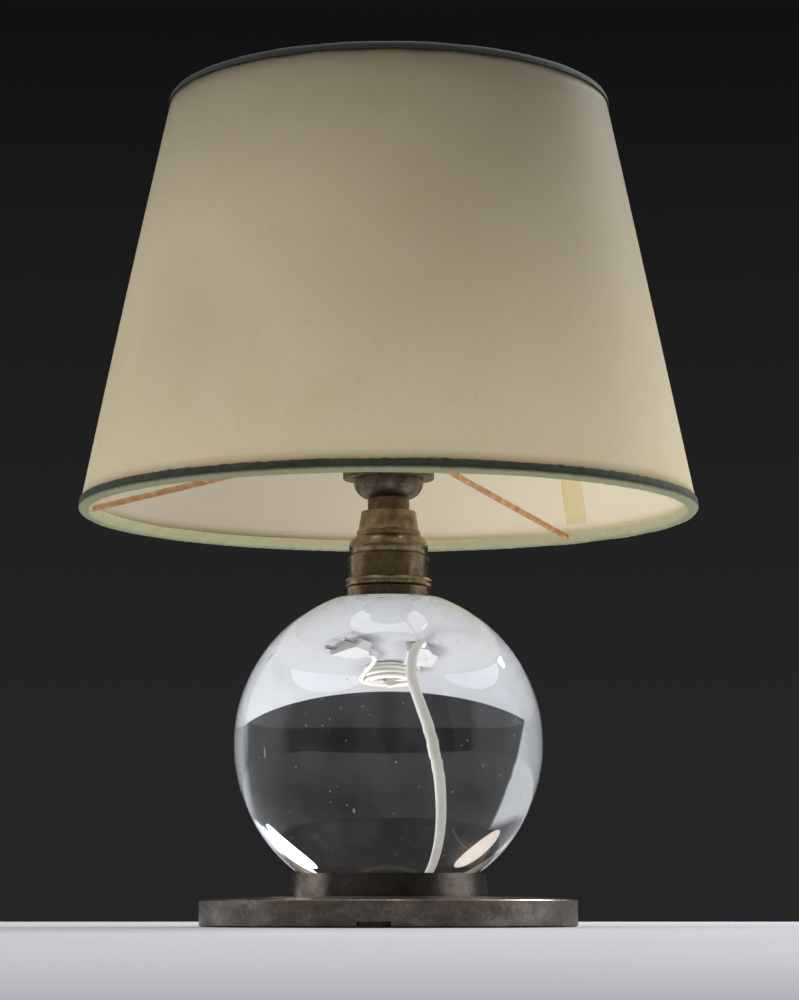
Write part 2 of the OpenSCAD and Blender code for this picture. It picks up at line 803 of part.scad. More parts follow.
module bulb_cap() {
    color("silver") difference() {
        union() {
            translate([0, 0, bulb_cap_z]) cylinder(r = bulb_cap_d / 2, h = bulb_cap_h);
            translate([0, 0, max(mouth_top + 0.3, bulb_cap_top - 2)])
                cylinder(r = bulb_cap_d / 2 + 0.7,
                    h = bulb_cap_top - max(mouth_top + 0.3, bulb_cap_top - 2));
        }
        translate([0, 0, bulb_cap_z + 0.6]) cylinder(r = bulb_cap_d / 2 - 0.5, h = bulb_cap_h);
    }
}

module bulb_contact() {
    color("dimgray") rotate_extrude() polygon([[0, bulb_z], [bulb_tip_r - 1, bulb_z],
        [bulb_tip_r, bulb_z + 0.8], [bulb_tip_r, bulb_z + bulb_tip_h],
        [bulb_cap_d / 2 - 1.5, bulb_cap_z - 0.6], [bulb_cap_d / 2 - 1.5, bulb_cap_z],
        [0, bulb_cap_z]]);
}

module bulb_mount() {
    mount_z = bulb_neck_z + bulb_wall;
    color("lightcyan") rotate_extrude() union() {
        translate([0, mount_z]) square([7, 2]);
        polygon([[0, mount_z + 2], [7, mount_z + 2], [3, mount_z + 10],
            [2, bulb_centre - filament_drop], [0, bulb_centre - filament_drop]]);
    }
}

module bulb_filament() {
    // A hoop on two wires that stand up from a button on the mount
    hoop_r = bulb_r * 0.4;
    foot_z = bulb_centre - filament_drop;
    color("gray") union() {
        translate([0, 0, foot_z]) cylinder(r = 1.8, h = 1.6);
        for (side = [-1, 1]) {
            translate([0, 0, foot_z + 0.8]) rotate([0, side * 90, 0]) cylinder(r = 0.4, h = hoop_r);
            translate([side * hoop_r, 0, foot_z + 0.2])
                cylinder(r = 0.5, h = filament_drop + 0.6);
        }
        translate([0, 0, bulb_centre]) rotate_extrude() translate([hoop_r, 0])
            circle(r = 0.35, $fn = 16);
    }
}

module fitter_ring() {
    color("peru") translate([0, 0, fitter_z]) washer(fitter_out, fitter_in, fitter_t);
}

// Places children along each spoke: z runs out and down from the fitter ring's edge
spoke_from = [fitter_out, fitter_z + fitter_t / 2];
spoke_run = norm(wire_low - spoke_from);
spoke_tilt = atan((spoke_from[1] - wire_low[1]) / (wire_low[0] - spoke_from[0]));
module on_spokes() {
    for (a = spoke_turns) rotate(a) translate([spoke_from[0], 0, spoke_from[1]])
        rotate([0, 90 + spoke_tilt, 0]) children();
}

// Three straight wires from the fitter ring's edge down to the lower wire ring
module shade_spokes() {
    color("peru") difference() {
        on_spokes() translate([0, 0, -2]) cylinder(r = wire_d / 2, h = spoke_run + 2);
        cylinder(r = fitter_out + hair, h = shade_high);
        rotate_extrude($fn = 180) translate(wire_low) circle(r = wire_d / 2 + hair, $fn = 32);
        rotate_extrude($fn = 180) translate([wire_low[0], wire_low[1] - wire_d])
            square([wire_d * 2, wire_d * 2]);
    }
}

module lower_wire_ring() {
    color("peru") rotate_extrude($fn = 180) translate(wire_low) circle(r = wire_d / 2, $fn = 32);
}

module upper_wire_ring() {
    color("peru") rotate_extrude($fn = 180) translate(wire_high) circle(r = wire_d / 2, $fn = 32);
}

// Draws children across the shade's wall: x is outwards, y is up the slope
module on_wall(fold) {
    translate(fold) rotate(fold_lean) children();
}

module shade_paper() {
    color("beige") rotate_extrude($fn = 180) on_wall(low_fold)
        translate([paper_in, 0]) square([paper_t, fold_run]);
}

module seam_strip() {
    span = seam_w / (low_fold[0] * PI / 180);
    clear = inner_lap + 1;
    color("khaki") rotate(seam_turn - span / 2) rotate_extrude(angle = span, $fn = 180)
        on_wall(low_fold) translate([paper_in - seam_t - layer_gap, clear])
            square([seam_t, fold_run - 2 * clear]);
}

// A tape folded over an edge: laps up both faces and round the wire
module trim_section(outer_lap) {
    lap_out = outer_lap - trim_r;
    lap_in = inner_lap - trim_r;
    difference() {
        union() {
            circle(r = trim_r);
            square([trim_r, lap_out]);
            translate([-trim_r, 0]) square([trim_r, lap_in]);
        }
        circle(r = fold_r);
        translate([-fold_r, 0]) square([fold_w, inner_lap + outer_lap]);
    }
}

// The lower tape is slit where the spokes come in
module lower_trim() {
    color("darkseagreen") difference() {
        rotate_extrude($fn = 180) on_wall(low_fold) trim_section(lower_lap);
        on_spokes() translate([0, 0, spoke_run - 12]) cylinder(r = wire_d / 2 + hair, h = 12);
    }
}

module upper_trim() {
    color("darkseagreen") rotate_extrude($fn = 180) on_wall(high_fold)
        mirror([0, 1]) trim_section(upper_lap);
}

module cord_run() {
    color("wheat") tube(curve(run_points, 2), cord_r, cord_sides, [1, 0, 0]);
}

module cord_link() {
    color("wheat") tube(curve(link_points, 2), cord_r, cord_sides, [0, 0, 1]);
}

module cord_tail() {
    color("wheat") tube(curve(tail_points, 2), cord_r, cord_sides, [1, 0, 0]);
}

// The coil spirals in and out at one rate, and climbs a layer while it turns back
function smooth(t) = t <= 0 ? 0 : t >= 1 ? 1 : t * t * (3 - 2 * t);
function climb(s) = coil_step * (smooth(2 * (s - layer_turns) + 0.5)
    + smooth(2 * (s - 2 * layer_turns) + 0.5) + smooth(2 * (s - 3 * layer_turns) + 0.5));
function spiral_r(s) =
    let (u = s - 2 * layer_turns * floor(s / (2 * layer_turns)))
    coil_in_r + coil_step * abs(u - layer_turns);
function coil_point(s) = [coil_at[0] + spiral_r(s) * cos(180 - 360 * s),
    coil_at[1] + spiral_r(s) * sin(180 - 360 * s), coil_low_z + climb(s)];
coil_points = concat([link_points[len(link_points) - 1]],
    [for (i = [0 : coil_turns * coil_rings]) coil_point(i / coil_rings)], [tail_points[0]]);
// The least gap between a turn and any stretch more than half a turn further on
coil_gap = min([for (i = [0 : coil_turns * coil_rings - coil_rings / 2])
    for (j = [i + coil_rings / 2 : coil_turns * coil_rings])
        norm(coil_point(i / coil_rings) - coil_point(j / coil_rings)) - cord_d]);
echo(least_gap_in_coil = coil_gap);

module cord_coil() {
    color("wheat") tube(coil_points, cord_r, coil_sides, [0, 0, 1]);
}

module coil_tie() {
    low_r = coil_in_r - cord_r - 0.6;
    high_r = coil_out_r + cord_r + 0.6;
    top = coil_high_z + cord_r + 0.4;
    color("ivory") translate([coil_at[0], coil_at[1], 0]) rotate(-90) difference() {
        translate([-high_r - tie_t, -tie_w / 2, 0])
            cube([high_r - low_r + 2 * tie_t, tie_w, top + tie_t]);
        translate([-high_r, -tie_w / 2 - over, tie_t])
            cube([high_r - low_r, tie_w + 2 * over, top - tie_t]);
    }
}

module on_switch() {
    translate([switch_at[0], switch_at[1], 0]) rotate(switch_turn) children();
}

// The switch seen from above: a long body with drawn-in ends
module switch_outline() {
    half = switch_l / 2;
    side = switch_w / 2;
    end = cord_d * 0.9;
    union() {
        intersection() {
            square([switch_l - 12, switch_w], center = true);
            circle(r = half - 1);
        }
        polygon([[-half, -end], [-half + 7, -side + 4], [half - 7, -side + 4], [half, -end],
            [half, end], [half - 7, side - 4], [-half + 7, side - 4], [-half, end]]);
    }
}

// The switch seen from the side: a body that thins towards its ends
module switch_side(face, end) {
    half = switch_l / 2;
    slant = 10;
    rotate([90, 0, 0]) translate([0, 0, -switch_w]) linear_extrude(height = 2 * switch_w)
        polygon([[-half, switch_axis_z], [-half, end], [-half + slant, face],
            [half - slant, face], [half, end], [half, switch_axis_z]]);
}

module at_switch_screws() {
    for (x = [-switch_screw_x, switch_screw_x]) translate([x, 0, 0]) children();
}

module switch_base() {
    color("white") on_switch() difference() {
        intersection() {
            linear_extrude(height = switch_low_h) switch_outline();
            switch_side(0, switch_axis_z - cord_r - cord_boss);
        }
        at_switch_screws() translate([0, 0, -over]) {
            cylinder(r = switch_bolt_r + 0.4, h = switch_low_h + 2 * over);
            cylinder(r = switch_head_r, h = switch_head_h + over);
        }
    }
}

module switch_cover() {
    top = switch_low_h + switch_top_h;
    color("white") on_switch() difference() {
        intersection() {
            translate([0, 0, switch_low_h]) linear_extrude(height = switch_top_h) switch_outline();
            switch_side(top, switch_axis_z + cord_r + cord_boss);
        }
        translate([-rocker_l / 2 - 0.4, -rocker_w / 2 - rocker_side, switch_low_h + 1.5])
            cube([rocker_l + 0.8, rocker_w + 2 * rocker_side, switch_top_h]);
        translate([0, 0, rocker_axis_z]) rotate([90, 0, 0])
            cylinder(r = rocker_pin_r + hair, h = rocker_w + 5, center = true);
        at_switch_screws() translate([0, 0, switch_low_h - over])
            cylinder(r = switch_bolt_r, h = 4 + over);
    }
}

module switch_rocker() {
    // A rocker with a dished face, turning on pins in the cover's walls
    dish_r = 30;
    color("gainsboro") on_switch() translate([0, 0, rocker_axis_z]) rotate([0, -rocker_lean, 0])
        rotate([90, 0, 0]) union() {
            translate([0, 0, -rocker_w / 2]) linear_extrude(height = rocker_w) difference() {
                intersection() {
                    translate([-rocker_l / 2, -1]) square([rocker_l, rocker_wing * 2]);
                    circle(r = rocker_l / 2 - 0.2);
                }
                translate([0, dish_r + rocker_wing]) circle(r = dish_r);
            }
            cylinder(r = rocker_pin_r, h = rocker_w + 4, center = true);
        }
}

module switch_screws() {
    head_h = 1.6;
    head_z = switch_head_h - head_h;
    color("silver") on_switch() at_switch_screws() difference() {
        translate([0, 0, head_z]) union() {
            cylinder(r = switch_head_r - 0.2, h = head_h);
            cylinder(r = switch_bolt_r - hair, h = switch_low_h + 2);
        }
        translate([-switch_head_r, -0.4, 0]) cube([2 * switch_head_r, 0.8, head_z + 0.7]);
    }
}

module on_plug() {
    translate([plug_at[0], plug_at[1], plug_axis_z]) rotate(plug_turn) rotate([90, 0, 0])
        children();
}

// The plug seen from the front face's side: a long hexagon
module plug_face() {
    half = plug_w / 2;
    top = plug_t / 2;
    flat = half - plug_t * 0.42;
    polygon([[-half, 0], [-flat, top], [flat, top], [half, 0], [flat, -top], [-flat, -top]]);
}

// The plug seen from above: shoulders that draw in to the cord
module plug_plan() {
    half = plug_w / 2;
    neck = 5;
    shoulder = [half - 4, plug_neck_l + plug_l * 0.45];
    side_z = plug_neck_l + plug_l * 0.6;
    polygon([[-neck, plug_neck_l], [-shoulder[0], shoulder[1]], [-half, side_z],
        [-half, plug_face_z], [half, plug_face_z], [half, side_z], shoulder,
        [neck, plug_neck_l]]);
}

module plug_body() {
    color("white") on_plug() difference() {
        union() {
            intersection() {
                translate([0, 0, plug_neck_l]) linear_extrude(height = plug_l) plug_face();
                rotate([90, 0, 0]) translate([0, 0, -plug_t]) linear_extrude(height = 2 * plug_t)
                    plug_plan();
            }
            cylinder(r1 = cord_r + 0.8, r2 = 4.8, h = plug_neck_l + 0.5);
        }
        for (x = [-pin_gap / 2, pin_gap / 2])
            translate([x, 0, plug_face_z - pin_root_l])
                cylinder(r = pin_root_r + hair, h = pin_root_l + over);
    }
}

module plug_pins() {
    pin_r = pin_d / 2;
    color("silver") on_plug() for (x = [-pin_gap / 2, pin_gap / 2])
        translate([x, 0, plug_face_z]) union() {
            translate([0, 0, -pin_root_l]) cylinder(r = pin_root_r, h = pin_root_l);
            cylinder(r = pin_r, h = pin_l - pin_r);
            translate([0, 0, pin_l - pin_r]) sphere(r = pin_r);
        }
}

felt_pad();
base_plate();
seat_screws();
ball_seat();
seat_pad();
crystal_ball();
stem_washer();
stem_base();
stem_drum();
stem_bun();
stem_collar();
nipple_tube();
lock_nut();
cord_relief();
holder_cap();
knurled_ring();
holder_barrel();
lower_shade_ring();
upper_shade_ring();
holder_insert();
insulating_sleeve();
screw_shell();
centre_contact();
shell_contact();
terminal_screws();
live_wire();
neutral_wire();
bulb_glass();
bulb_cap();
bulb_contact();
bulb_mount();
bulb_filament();
fitter_ring();
shade_spokes();
lower_wire_ring();
upper_wire_ring();
shade_paper();
seam_strip();
lower_trim();
upper_trim();
cord_run();
cord_link();
cord_coil();
cord_tail();
coil_tie();
switch_base();
switch_cover();
switch_rocker();
switch_screws();
plug_body();
plug_pins();
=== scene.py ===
import logging
import math
from dataclasses import dataclass, field
from enum import Enum
from typing import Any, Protocol

import bpy
import numpy as np
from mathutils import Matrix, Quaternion, Vector


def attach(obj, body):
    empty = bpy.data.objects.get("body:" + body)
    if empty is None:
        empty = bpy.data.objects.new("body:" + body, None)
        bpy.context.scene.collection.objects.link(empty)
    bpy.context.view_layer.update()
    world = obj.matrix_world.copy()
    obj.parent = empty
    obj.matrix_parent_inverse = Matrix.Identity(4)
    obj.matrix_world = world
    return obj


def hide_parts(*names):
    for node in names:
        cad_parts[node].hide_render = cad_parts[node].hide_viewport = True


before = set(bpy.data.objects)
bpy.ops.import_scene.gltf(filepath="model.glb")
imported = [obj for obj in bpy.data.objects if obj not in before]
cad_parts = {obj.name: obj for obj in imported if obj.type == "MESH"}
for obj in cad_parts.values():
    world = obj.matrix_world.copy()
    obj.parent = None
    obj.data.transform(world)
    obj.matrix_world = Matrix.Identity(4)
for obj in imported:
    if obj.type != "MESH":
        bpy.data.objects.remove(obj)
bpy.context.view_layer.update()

MM = 0.001
log = logging.getLogger("crystal lamp")


class Body(str, Enum):
    """The bodies that the pieces ride on."""

    LAMP = "lamp"
    SHADE = "shade"


class Outline(str, Enum):
    """The outlines that a softbox can have."""

    OBLONG = "RECTANGLE"
    OVAL = "ELLIPSE"


class Edge(str, Enum):
    """The shade's two edges."""

    LOWER = "lower"
    UPPER = "upper"


class Finish(Protocol):
    """What every finish has: a name, and a method that builds its material."""

    name: str

    def make(self) -> bpy.types.Material:
        """Builds the material."""


def linear(hex_colour: str) -> tuple[float, float, float, float]:
    """Turns an sRGB hex colour into the linear colour that a shader takes.

    Args:
        hex_colour: Six hex digits after a hash, such as "#c8b090".

    Returns:
        Red, green, blue and an alpha of one.
    """
    parts = [int(hex_colour[i : i + 2], 16) / 255 for i in (1, 3, 5)]
    low = [c / 12.92 if c <= 0.04045 else ((c + 0.055) / 1.055) ** 2.4 for c in parts]
    return (low[0], low[1], low[2], 1.0)


def add(
    tree: bpy.types.NodeTree, kind: str, inputs: dict[str | int, Any] | None = None,
    stops: list[tuple[float, str]] | None = None, **settings: Any,
) -> bpy.types.Node:
    """Adds one node with its settings, values and links.

    Args:
        tree: The node tree that gets the node.
        kind: Blender's name of the node's type.
        inputs: By socket name or number, a value, a socket, or a node whose first output counts.
        stops: A colour ramp's stops, each a place from 0 to 1 and a hex colour.
        settings: The node's own properties.

    Returns:
        The new node.
    """
    made = tree.nodes.new(kind)
    for name, value in settings.items():
        setattr(made, name, value)
    for name, value in (inputs or {}).items():
        if isinstance(value, bpy.types.Node):
            value = next(out for out in value.outputs if out.enabled)
        if isinstance(value, bpy.types.NodeSocket):
            tree.links.new(value, made.inputs[name])
        else:
            made.inputs[name].default_value = value
    if stops:
        bar = made.color_ramp.elements
        while len(bar) < len(stops):
            bar.new(0.5)
        for element, (place, colour) in zip(bar, stops):
            element.position = place
            element.color = linear(colour)
    return made


def start_material(name: str) -> tuple[bpy.types.Material, bpy.types.NodeTree, bpy.types.Node]:
    """Starts a material with the piece's own coordinates.

    Args:
        name: The material's name.

    Returns:
        The material, its tree and the coordinates node.
    """
    material = bpy.data.materials.new(name)
    material.use_nodes = True
    tree = material.node_tree
    tree.nodes.clear()
    return material, tree, add(tree, "ShaderNodeTexCoord")


def grain(
    tree: bpy.types.NodeTree, coords: bpy.types.Node, size_mm: float, detail: float = 4.0,
    stretch: tuple[float, float, float] = (1.0, 1.0, 1.0), rough: float = 0.55,
) -> bpy.types.Node:
    """Lays a cloudy pattern on Object coordinates whose grains have a real size.

    Args:
        tree: The node tree.
        coords: The coordinates node.
        size_mm: The grain's size in millimetres.
        detail: How many finer layers the pattern has.
        stretch: How much finer the pattern is along each axis.
        rough: The weight of the finer layers.

    Returns:
        The pattern's node.
    """
    scaled = add(tree, "ShaderNodeMapping", {"Vector": coords.outputs["Object"], "Scale": stretch})
    return add(
        tree, "ShaderNodeTexNoise",
        {"Vector": scaled, "Scale": 1 / (size_mm * MM), "Detail": detail, "Roughness": rough},
    )


@dataclass(frozen=True)
class TurnedBrass:
    """Turned brass with a dull brown patina: soft grey-gold sheen, dark blotches, lathe lines."""

    name: str = "turned brass, brown patina"
    bright: str = "#b7a684"
    middle: str = "#8c7b62"
    dark: str = "#57493a"
    roughness: float = 0.28
    line_mm: float = 0.35
    line_depth_mm: float = 0.002
    line_stretch: float = 30.0
    blotch_mm: float = 6.0
    speck: float = 0.0
    speck_mm: float = 2.2
    speck_tone: str = "#b9ab8c"

    def make(self) -> bpy.types.Material:
        """Builds the material.

        Returns:
            The new material.
        """
        material, tree, coords = start_material(self.name)
        blotch = grain(tree, coords, self.blotch_mm, 7.0, rough=0.62)
        # Lathe lines run round the axis, so the pattern is fine along Z alone. The real ones
        # stand closer, and are drawn this coarse so that they show
        lines = grain(
            tree, coords, self.line_mm * self.line_stretch, stretch=(0.4, 0.4, self.line_stretch)
        )
        streak = add(
            tree, "ShaderNodeMapRange",
            {"Value": lines, "From Min": 0.25, "From Max": 0.75, "To Min": 0.07, "To Max": 0.17},
        )
        tone = add(
            tree, "ShaderNodeMath", {0: blotch, 1: 0.75, 2: streak}, operation="MULTIPLY_ADD"
        )
        colour = add(
            tree, "ShaderNodeValToRGB", {"Fac": tone},
            [(0.30, self.dark), (0.50, self.middle), (0.72, self.bright)],
        )
        if self.speck:
            spots = add(
                tree, "ShaderNodeTexVoronoi",
                {"Vector": coords.outputs["Object"], "Scale": 1 / (self.speck_mm * MM)},
            )
            near = add(
                tree, "ShaderNodeMapRange",
                {"Value": spots, "From Min": 0.05, "From Max": 0.16, "To Min": self.speck,
                 "To Max": 0.0},
            )
            colour = add(
                tree, "ShaderNodeMix", {"Factor": near, "A": colour, "B": linear(self.speck_tone)},
                data_type="RGBA",
            )
        rough = add(
            tree, "ShaderNodeMapRange",
            {"Value": blotch, "From Min": 0.3, "From Max": 0.7,
             "To Min": self.roughness + 0.14, "To Max": self.roughness - 0.08},
        )
        relief = add(
            tree, "ShaderNodeBump",
            {"Height": lines, "Distance": self.line_depth_mm * MM, "Strength": 1.0},
        )
        # The lathe's marks run round, so highlights spread up and down
        round_z = add(tree, "ShaderNodeTangent", direction_type="RADIAL", axis="Z")
        brass = add(
            tree, "ShaderNodeBsdfPrincipled",
            {"Base Color": colour, "Metallic": 1.0, "Roughness": rough, "Anisotropic": 0.4,
             "Anisotropic Rotation": 0.25, "Tangent": round_z, "Normal": relief},
        )
        add(tree, "ShaderNodeOutputMaterial", {"Surface": brass})
        return material


@dataclass(frozen=True)
class BronzedBrass:
    """Chemically bronzed brass: brown-black, worn to a warm grey where hands and cloths reach."""

    name: str = "bronzed brass, worn"
    bright: str = "#aea093"
    middle: str = "#7c7066"
    dark: str = "#4b423c"
    roughness: float = 0.28
    wear_mm: float = 16.0
    pit_mm: float = 1.3
    pit_depth_mm: float = 0.005
    painted_shade_mm: float = 4.0

    def make(self) -> bpy.types.Material:
        """Builds the material.

        Returns:
            The new material.
        """
        material, tree, coords = start_material(self.name)
        wear = grain(tree, coords, self.wear_mm, 8.0, stretch=(1.0, 1.0, 1.6), rough=0.66)
        pits = grain(tree, coords, self.pit_mm)
        broad = add(tree, "ShaderNodeMapRange", {"Value": wear, "To Min": -0.1, "To Max": 0.8})
        tone = add(tree, "ShaderNodeMath", {0: pits, 1: 0.3, 2: broad}, operation="MULTIPLY_ADD")
        colour = add(
            tree, "ShaderNodeValToRGB", {"Fac": tone},
            [(0.26, self.dark), (0.48, self.middle), (0.74, self.bright)],
        )
        # Painted shade: ambient occlusion darkens the colour in the corners, between parts and in the
        # notch, where shadow falls
        nook = add(tree, "ShaderNodeAmbientOcclusion", {"Distance": self.painted_shade_mm * MM}, samples=6)
        painted_nook_shade = add(
            tree, "ShaderNodeMapRange",
            {"Value": nook.outputs["AO"], "From Min": 0.30, "From Max": 0.62, "To Min": 0.06},
        )
        shaded_bronze = add(tree, "ShaderNodeVectorMath", {0: colour, "Scale": painted_nook_shade}, operation="SCALE")
        rough = add(
            tree, "ShaderNodeMapRange",
            {"Value": wear, "From Min": 0.3, "From Max": 0.7,
             "To Min": self.roughness + 0.15, "To Max": self.roughness - 0.1},
        )
        relief = add(
            tree, "ShaderNodeBump",
            {"Height": pits, "Distance": self.pit_depth_mm * MM, "Strength": 1.0},
        )
        bronze = add(
            tree, "ShaderNodeBsdfPrincipled",
            {"Base Color": shaded_bronze, "Metallic": 1.0, "Roughness": rough, "Normal": relief},
        )
        add(tree, "ShaderNodeOutputMaterial", {"Surface": bronze})
        return material


@dataclass(frozen=True)
class PlainMetal:
    """A plated or plain metal with fine drawn or turned texture."""

    name: str
    bright: str
    dark: str
    roughness: float = 0.28
    grain_mm: float = 0.8
    depth_mm: float = 0.006

    def make(self) -> bpy.types.Material:
        """Builds the material.

        Returns:
            The new material.
        """
        material, tree, coords = start_material(self.name)
        drawn = grain(tree, coords, self.grain_mm, 5.0)
        colour = add(
            tree, "ShaderNodeValToRGB", {"Fac": drawn}, [(0.3, self.dark), (0.6, self.bright)]
        )
        rough = add(
            tree, "ShaderNodeMapRange",
            {"Value": drawn, "From Min": 0.3, "From Max": 0.7,
             "To Min": self.roughness + 0.08, "To Max": self.roughness - 0.06},
        )
        relief = add(
            tree, "ShaderNodeBump",
            {"Height": drawn, "Distance": self.depth_mm * MM, "Strength": 1.0},
        )
        metal = add(
            tree, "ShaderNodeBsdfPrincipled",
            {"Base Color": colour, "Metallic": 1.0, "Roughness": rough, "Normal": relief},
        )
        add(tree, "ShaderNodeOutputMaterial", {"Surface": metal})
        return material


@dataclass(frozen=True)
class LeadCrystal:
    """Polished lead crystal: colourless, high index, a faint polish wave, with specks and a film."""

    name: str = "polished lead crystal"
    index: float = 1.545
    tint: str = "#fcfdfd"
    dust_tone: str = "#cfd1d2"
    dust_mm: float = 3.0
    lint_mm: float = 5.0
    cover: float = 0.55
    film: float = 0.07
    smear_mm: float = 9.0
    wave_mm: float = 14.0
    wave_depth_mm: float = 0.002

    def specks(
        self, tree: bpy.types.NodeTree, coords: bpy.types.Node, cell_mm: float, size: float,
        rare: float, stretch: tuple[float, float, float], turn: float,
    ) -> bpy.types.Node:
        """Scatters specks, at most one in a cell of a cell texture.

        Args:
            tree: The material's node tree.
            coords: The coordinates node.
            cell_mm: The size of a cell in millimetres.
            size: The largest speck's radius as a share of its cell.
            rare: The share of the cells that stay empty.
            stretch: The scale along each axis; below one draws specks out along it.
            turn: How far the specks lean, in radians about Y.

        Returns:
            A node that gives one on a speck and zero elsewhere.
        """
        place = add(
            tree, "ShaderNodeMapping",
            {"Vector": coords.outputs["Object"], "Rotation": (0.0, turn, 0.0), "Scale": stretch},
        )
        cells = add(tree, "ShaderNodeTexVoronoi", {"Vector": place, "Scale": 1 / (cell_mm * MM)})
        pick = add(tree, "ShaderNodeSeparateXYZ", {0: cells.outputs["Color"]})
        radius = add(
            tree, "ShaderNodeMapRange",
            {"Value": pick.outputs["X"], "From Min": rare, "To Max": size},
        )
        return add(tree, "ShaderNodeMath", {0: radius, 1: cells}, operation="GREATER_THAN")

    def make(self) -> bpy.types.Material:
        """Builds the material.

        Returns:
            The new material.
        """
        material, tree, coords = start_material(self.name)
        relief = add(
            tree, "ShaderNodeBump",
            {"Height": grain(tree, coords, self.wave_mm, 2.0),
             "Distance": self.wave_depth_mm * MM, "Strength": 0.4},
        )
        crystal = add(
            tree, "ShaderNodeBsdfPrincipled",
            {"Base Color": linear(self.tint), "Roughness": 0.0, "IOR": self.index,
             "Transmission Weight": 1.0, "Normal": relief},
        )
        # Specks of dust and short fibres, few and small, and a faint smear left by a cloth
        dots = self.specks(tree, coords, self.dust_mm, 0.13, 0.45, (1.0, 1.0, 1.0), 0.0)
        lint = self.specks(tree, coords, self.lint_mm, 0.10, 0.55, (1.0, 1.0, 0.22), 0.6)
        both = add(tree, "ShaderNodeMath", {0: dots, 1: lint}, operation="MAXIMUM")
        smear = grain(tree, coords, self.smear_mm, 6.0, stretch=(1.0, 1.0, 0.35), rough=0.7)
        film = add(
            tree, "ShaderNodeMapRange",
            {"Value": smear, "From Min": 0.42, "From Max": 0.72, "To Max": self.film},
        )
        share = add(
            tree, "ShaderNodeMath", {0: both, 1: self.cover, 2: film}, operation="MULTIPLY_ADD"
        )
        dust = add(tree, "ShaderNodeBsdfDiffuse", {"Color": linear(self.dust_tone)})
        mixed = add(tree, "ShaderNodeMixShader", {0: share, 1: crystal, 2: dust})
        add(tree, "ShaderNodeOutputMaterial", {"Surface": mixed})
        return material


@dataclass(frozen=True)
class BulbGlass:
    """Blown bulb glass, etched inside so that it looks milky, or clear."""

    name: str
    colour: str = "#f4f2ec"
    roughness: float = 0.5
    weight: float = 0.55
    shadow: str = "#e9e7e0"
    grain_mm: float = 0.6

    def make(self) -> bpy.types.Material:
        """Builds the material.

        Returns:
            The new material.
        """
        material, tree, coords = start_material(self.name)
        etch = grain(tree, coords, self.grain_mm, 3.0)
        colour = add(
            tree, "ShaderNodeValToRGB", {"Fac": etch}, [(0.3, self.shadow), (0.7, self.colour)]
        )
        rough = add(
            tree, "ShaderNodeMapRange",
            {"Value": etch, "To Min": self.roughness, "To Max": self.roughness * 0.8},
        )
        glass = add(
            tree, "ShaderNodeBsdfPrincipled",
            {"Base Color": colour, "Roughness": rough, "IOR": 1.5,
             "Transmission Weight": self.weight},
        )
        add(tree, "ShaderNodeOutputMaterial", {"Surface": glass})
        return material


@dataclass(frozen=True)
class Parchment:
    """Parchment card for shades: cream, faintly mottled, white inside, lets some light through."""

    name: str = "parchment card"
    light: str = "#f6e8c6"
    middle: str = "#edddb3"
    dark: str = "#dfcda0"
    lining: str = "#f6f5f0"
    through: str = "#faf2df"
    top_shade: float = 0.31
    cloud_mm: float = 22.0
    fibre_mm: float = 2.0
    fibre_depth_mm: float = 0.03
    glow: float = 0.6
    lining_from_mm: float = 170.0
    top_shade_to_mm: float = 165.0

    def make(self) -> bpy.types.Material:
        """Builds the material.

        Returns:
            The new material.
        """
        material, tree, coords = start_material(self.name)
        cloud = grain(tree, coords, self.cloud_mm, 6.0, rough=0.6)
        fibre = grain(tree, coords, self.fibre_mm, 6.0, stretch=(1.0, 1.0, 0.4), rough=0.7)
        broad = add(tree, "ShaderNodeMapRange", {"Value": cloud, "To Max": 0.35})
        tone = add(tree, "ShaderNodeMath", {0: fibre, 1: 0.65, 2: broad}, operation="MULTIPLY_ADD")
        colour = add(
            tree, "ShaderNodeValToRGB", {"Fac": tone},
            [(0.30, self.dark), (0.45, self.middle), (0.66, self.light)],
        )
        # The piece's own UV map: metres along the outside, round the lower edge and up inside
        up = add(tree, "ShaderNodeSeparateXYZ", {0: coords.outputs["UV"]}).outputs["Y"]
        start = self.lining_from_mm * MM
        inside = add(
            tree, "ShaderNodeMapRange",
            {"Value": up, "From Min": start, "From Max": start + 0.5 * MM},
        )
        # Painted shade: the outside of the card, and the light let through it, grow darker towards
        # the upper edge
        painted_top_shade = add(
            tree, "ShaderNodeMapRange",
            {"Value": up, "From Max": self.top_shade_to_mm * MM, "To Min": self.top_shade},
        )
        shaded_card = add(tree, "ShaderNodeVectorMath", {0: colour, "Scale": painted_top_shade}, operation="SCALE")
        sides = add(
            tree, "ShaderNodeMix", {"Factor": inside, "A": shaded_card, "B": linear(self.lining)},
            data_type="RGBA",
        )
        relief = add(
            tree, "ShaderNodeBump",
            {"Height": fibre, "Distance": self.fibre_depth_mm * MM, "Strength": 0.5},
        )
        card = add(
            tree, "ShaderNodeBsdfPrincipled",
            {"Base Color": sides, "Roughness": 0.62, "Specular IOR Level": 0.3, "Normal": relief},
        )
        veil = add(
            tree, "ShaderNodeVectorMath", {0: linear(self.through)[:3], "Scale": painted_top_shade},
            operation="SCALE",
        )
        through = add(tree, "ShaderNodeBsdfTranslucent", {"Color": veil})
        mixed = add(tree, "ShaderNodeMixShader", {0: self.glow, 1: card, 2: through})
        add(tree, "ShaderNodeOutputMaterial", {"Surface": mixed})
        return material


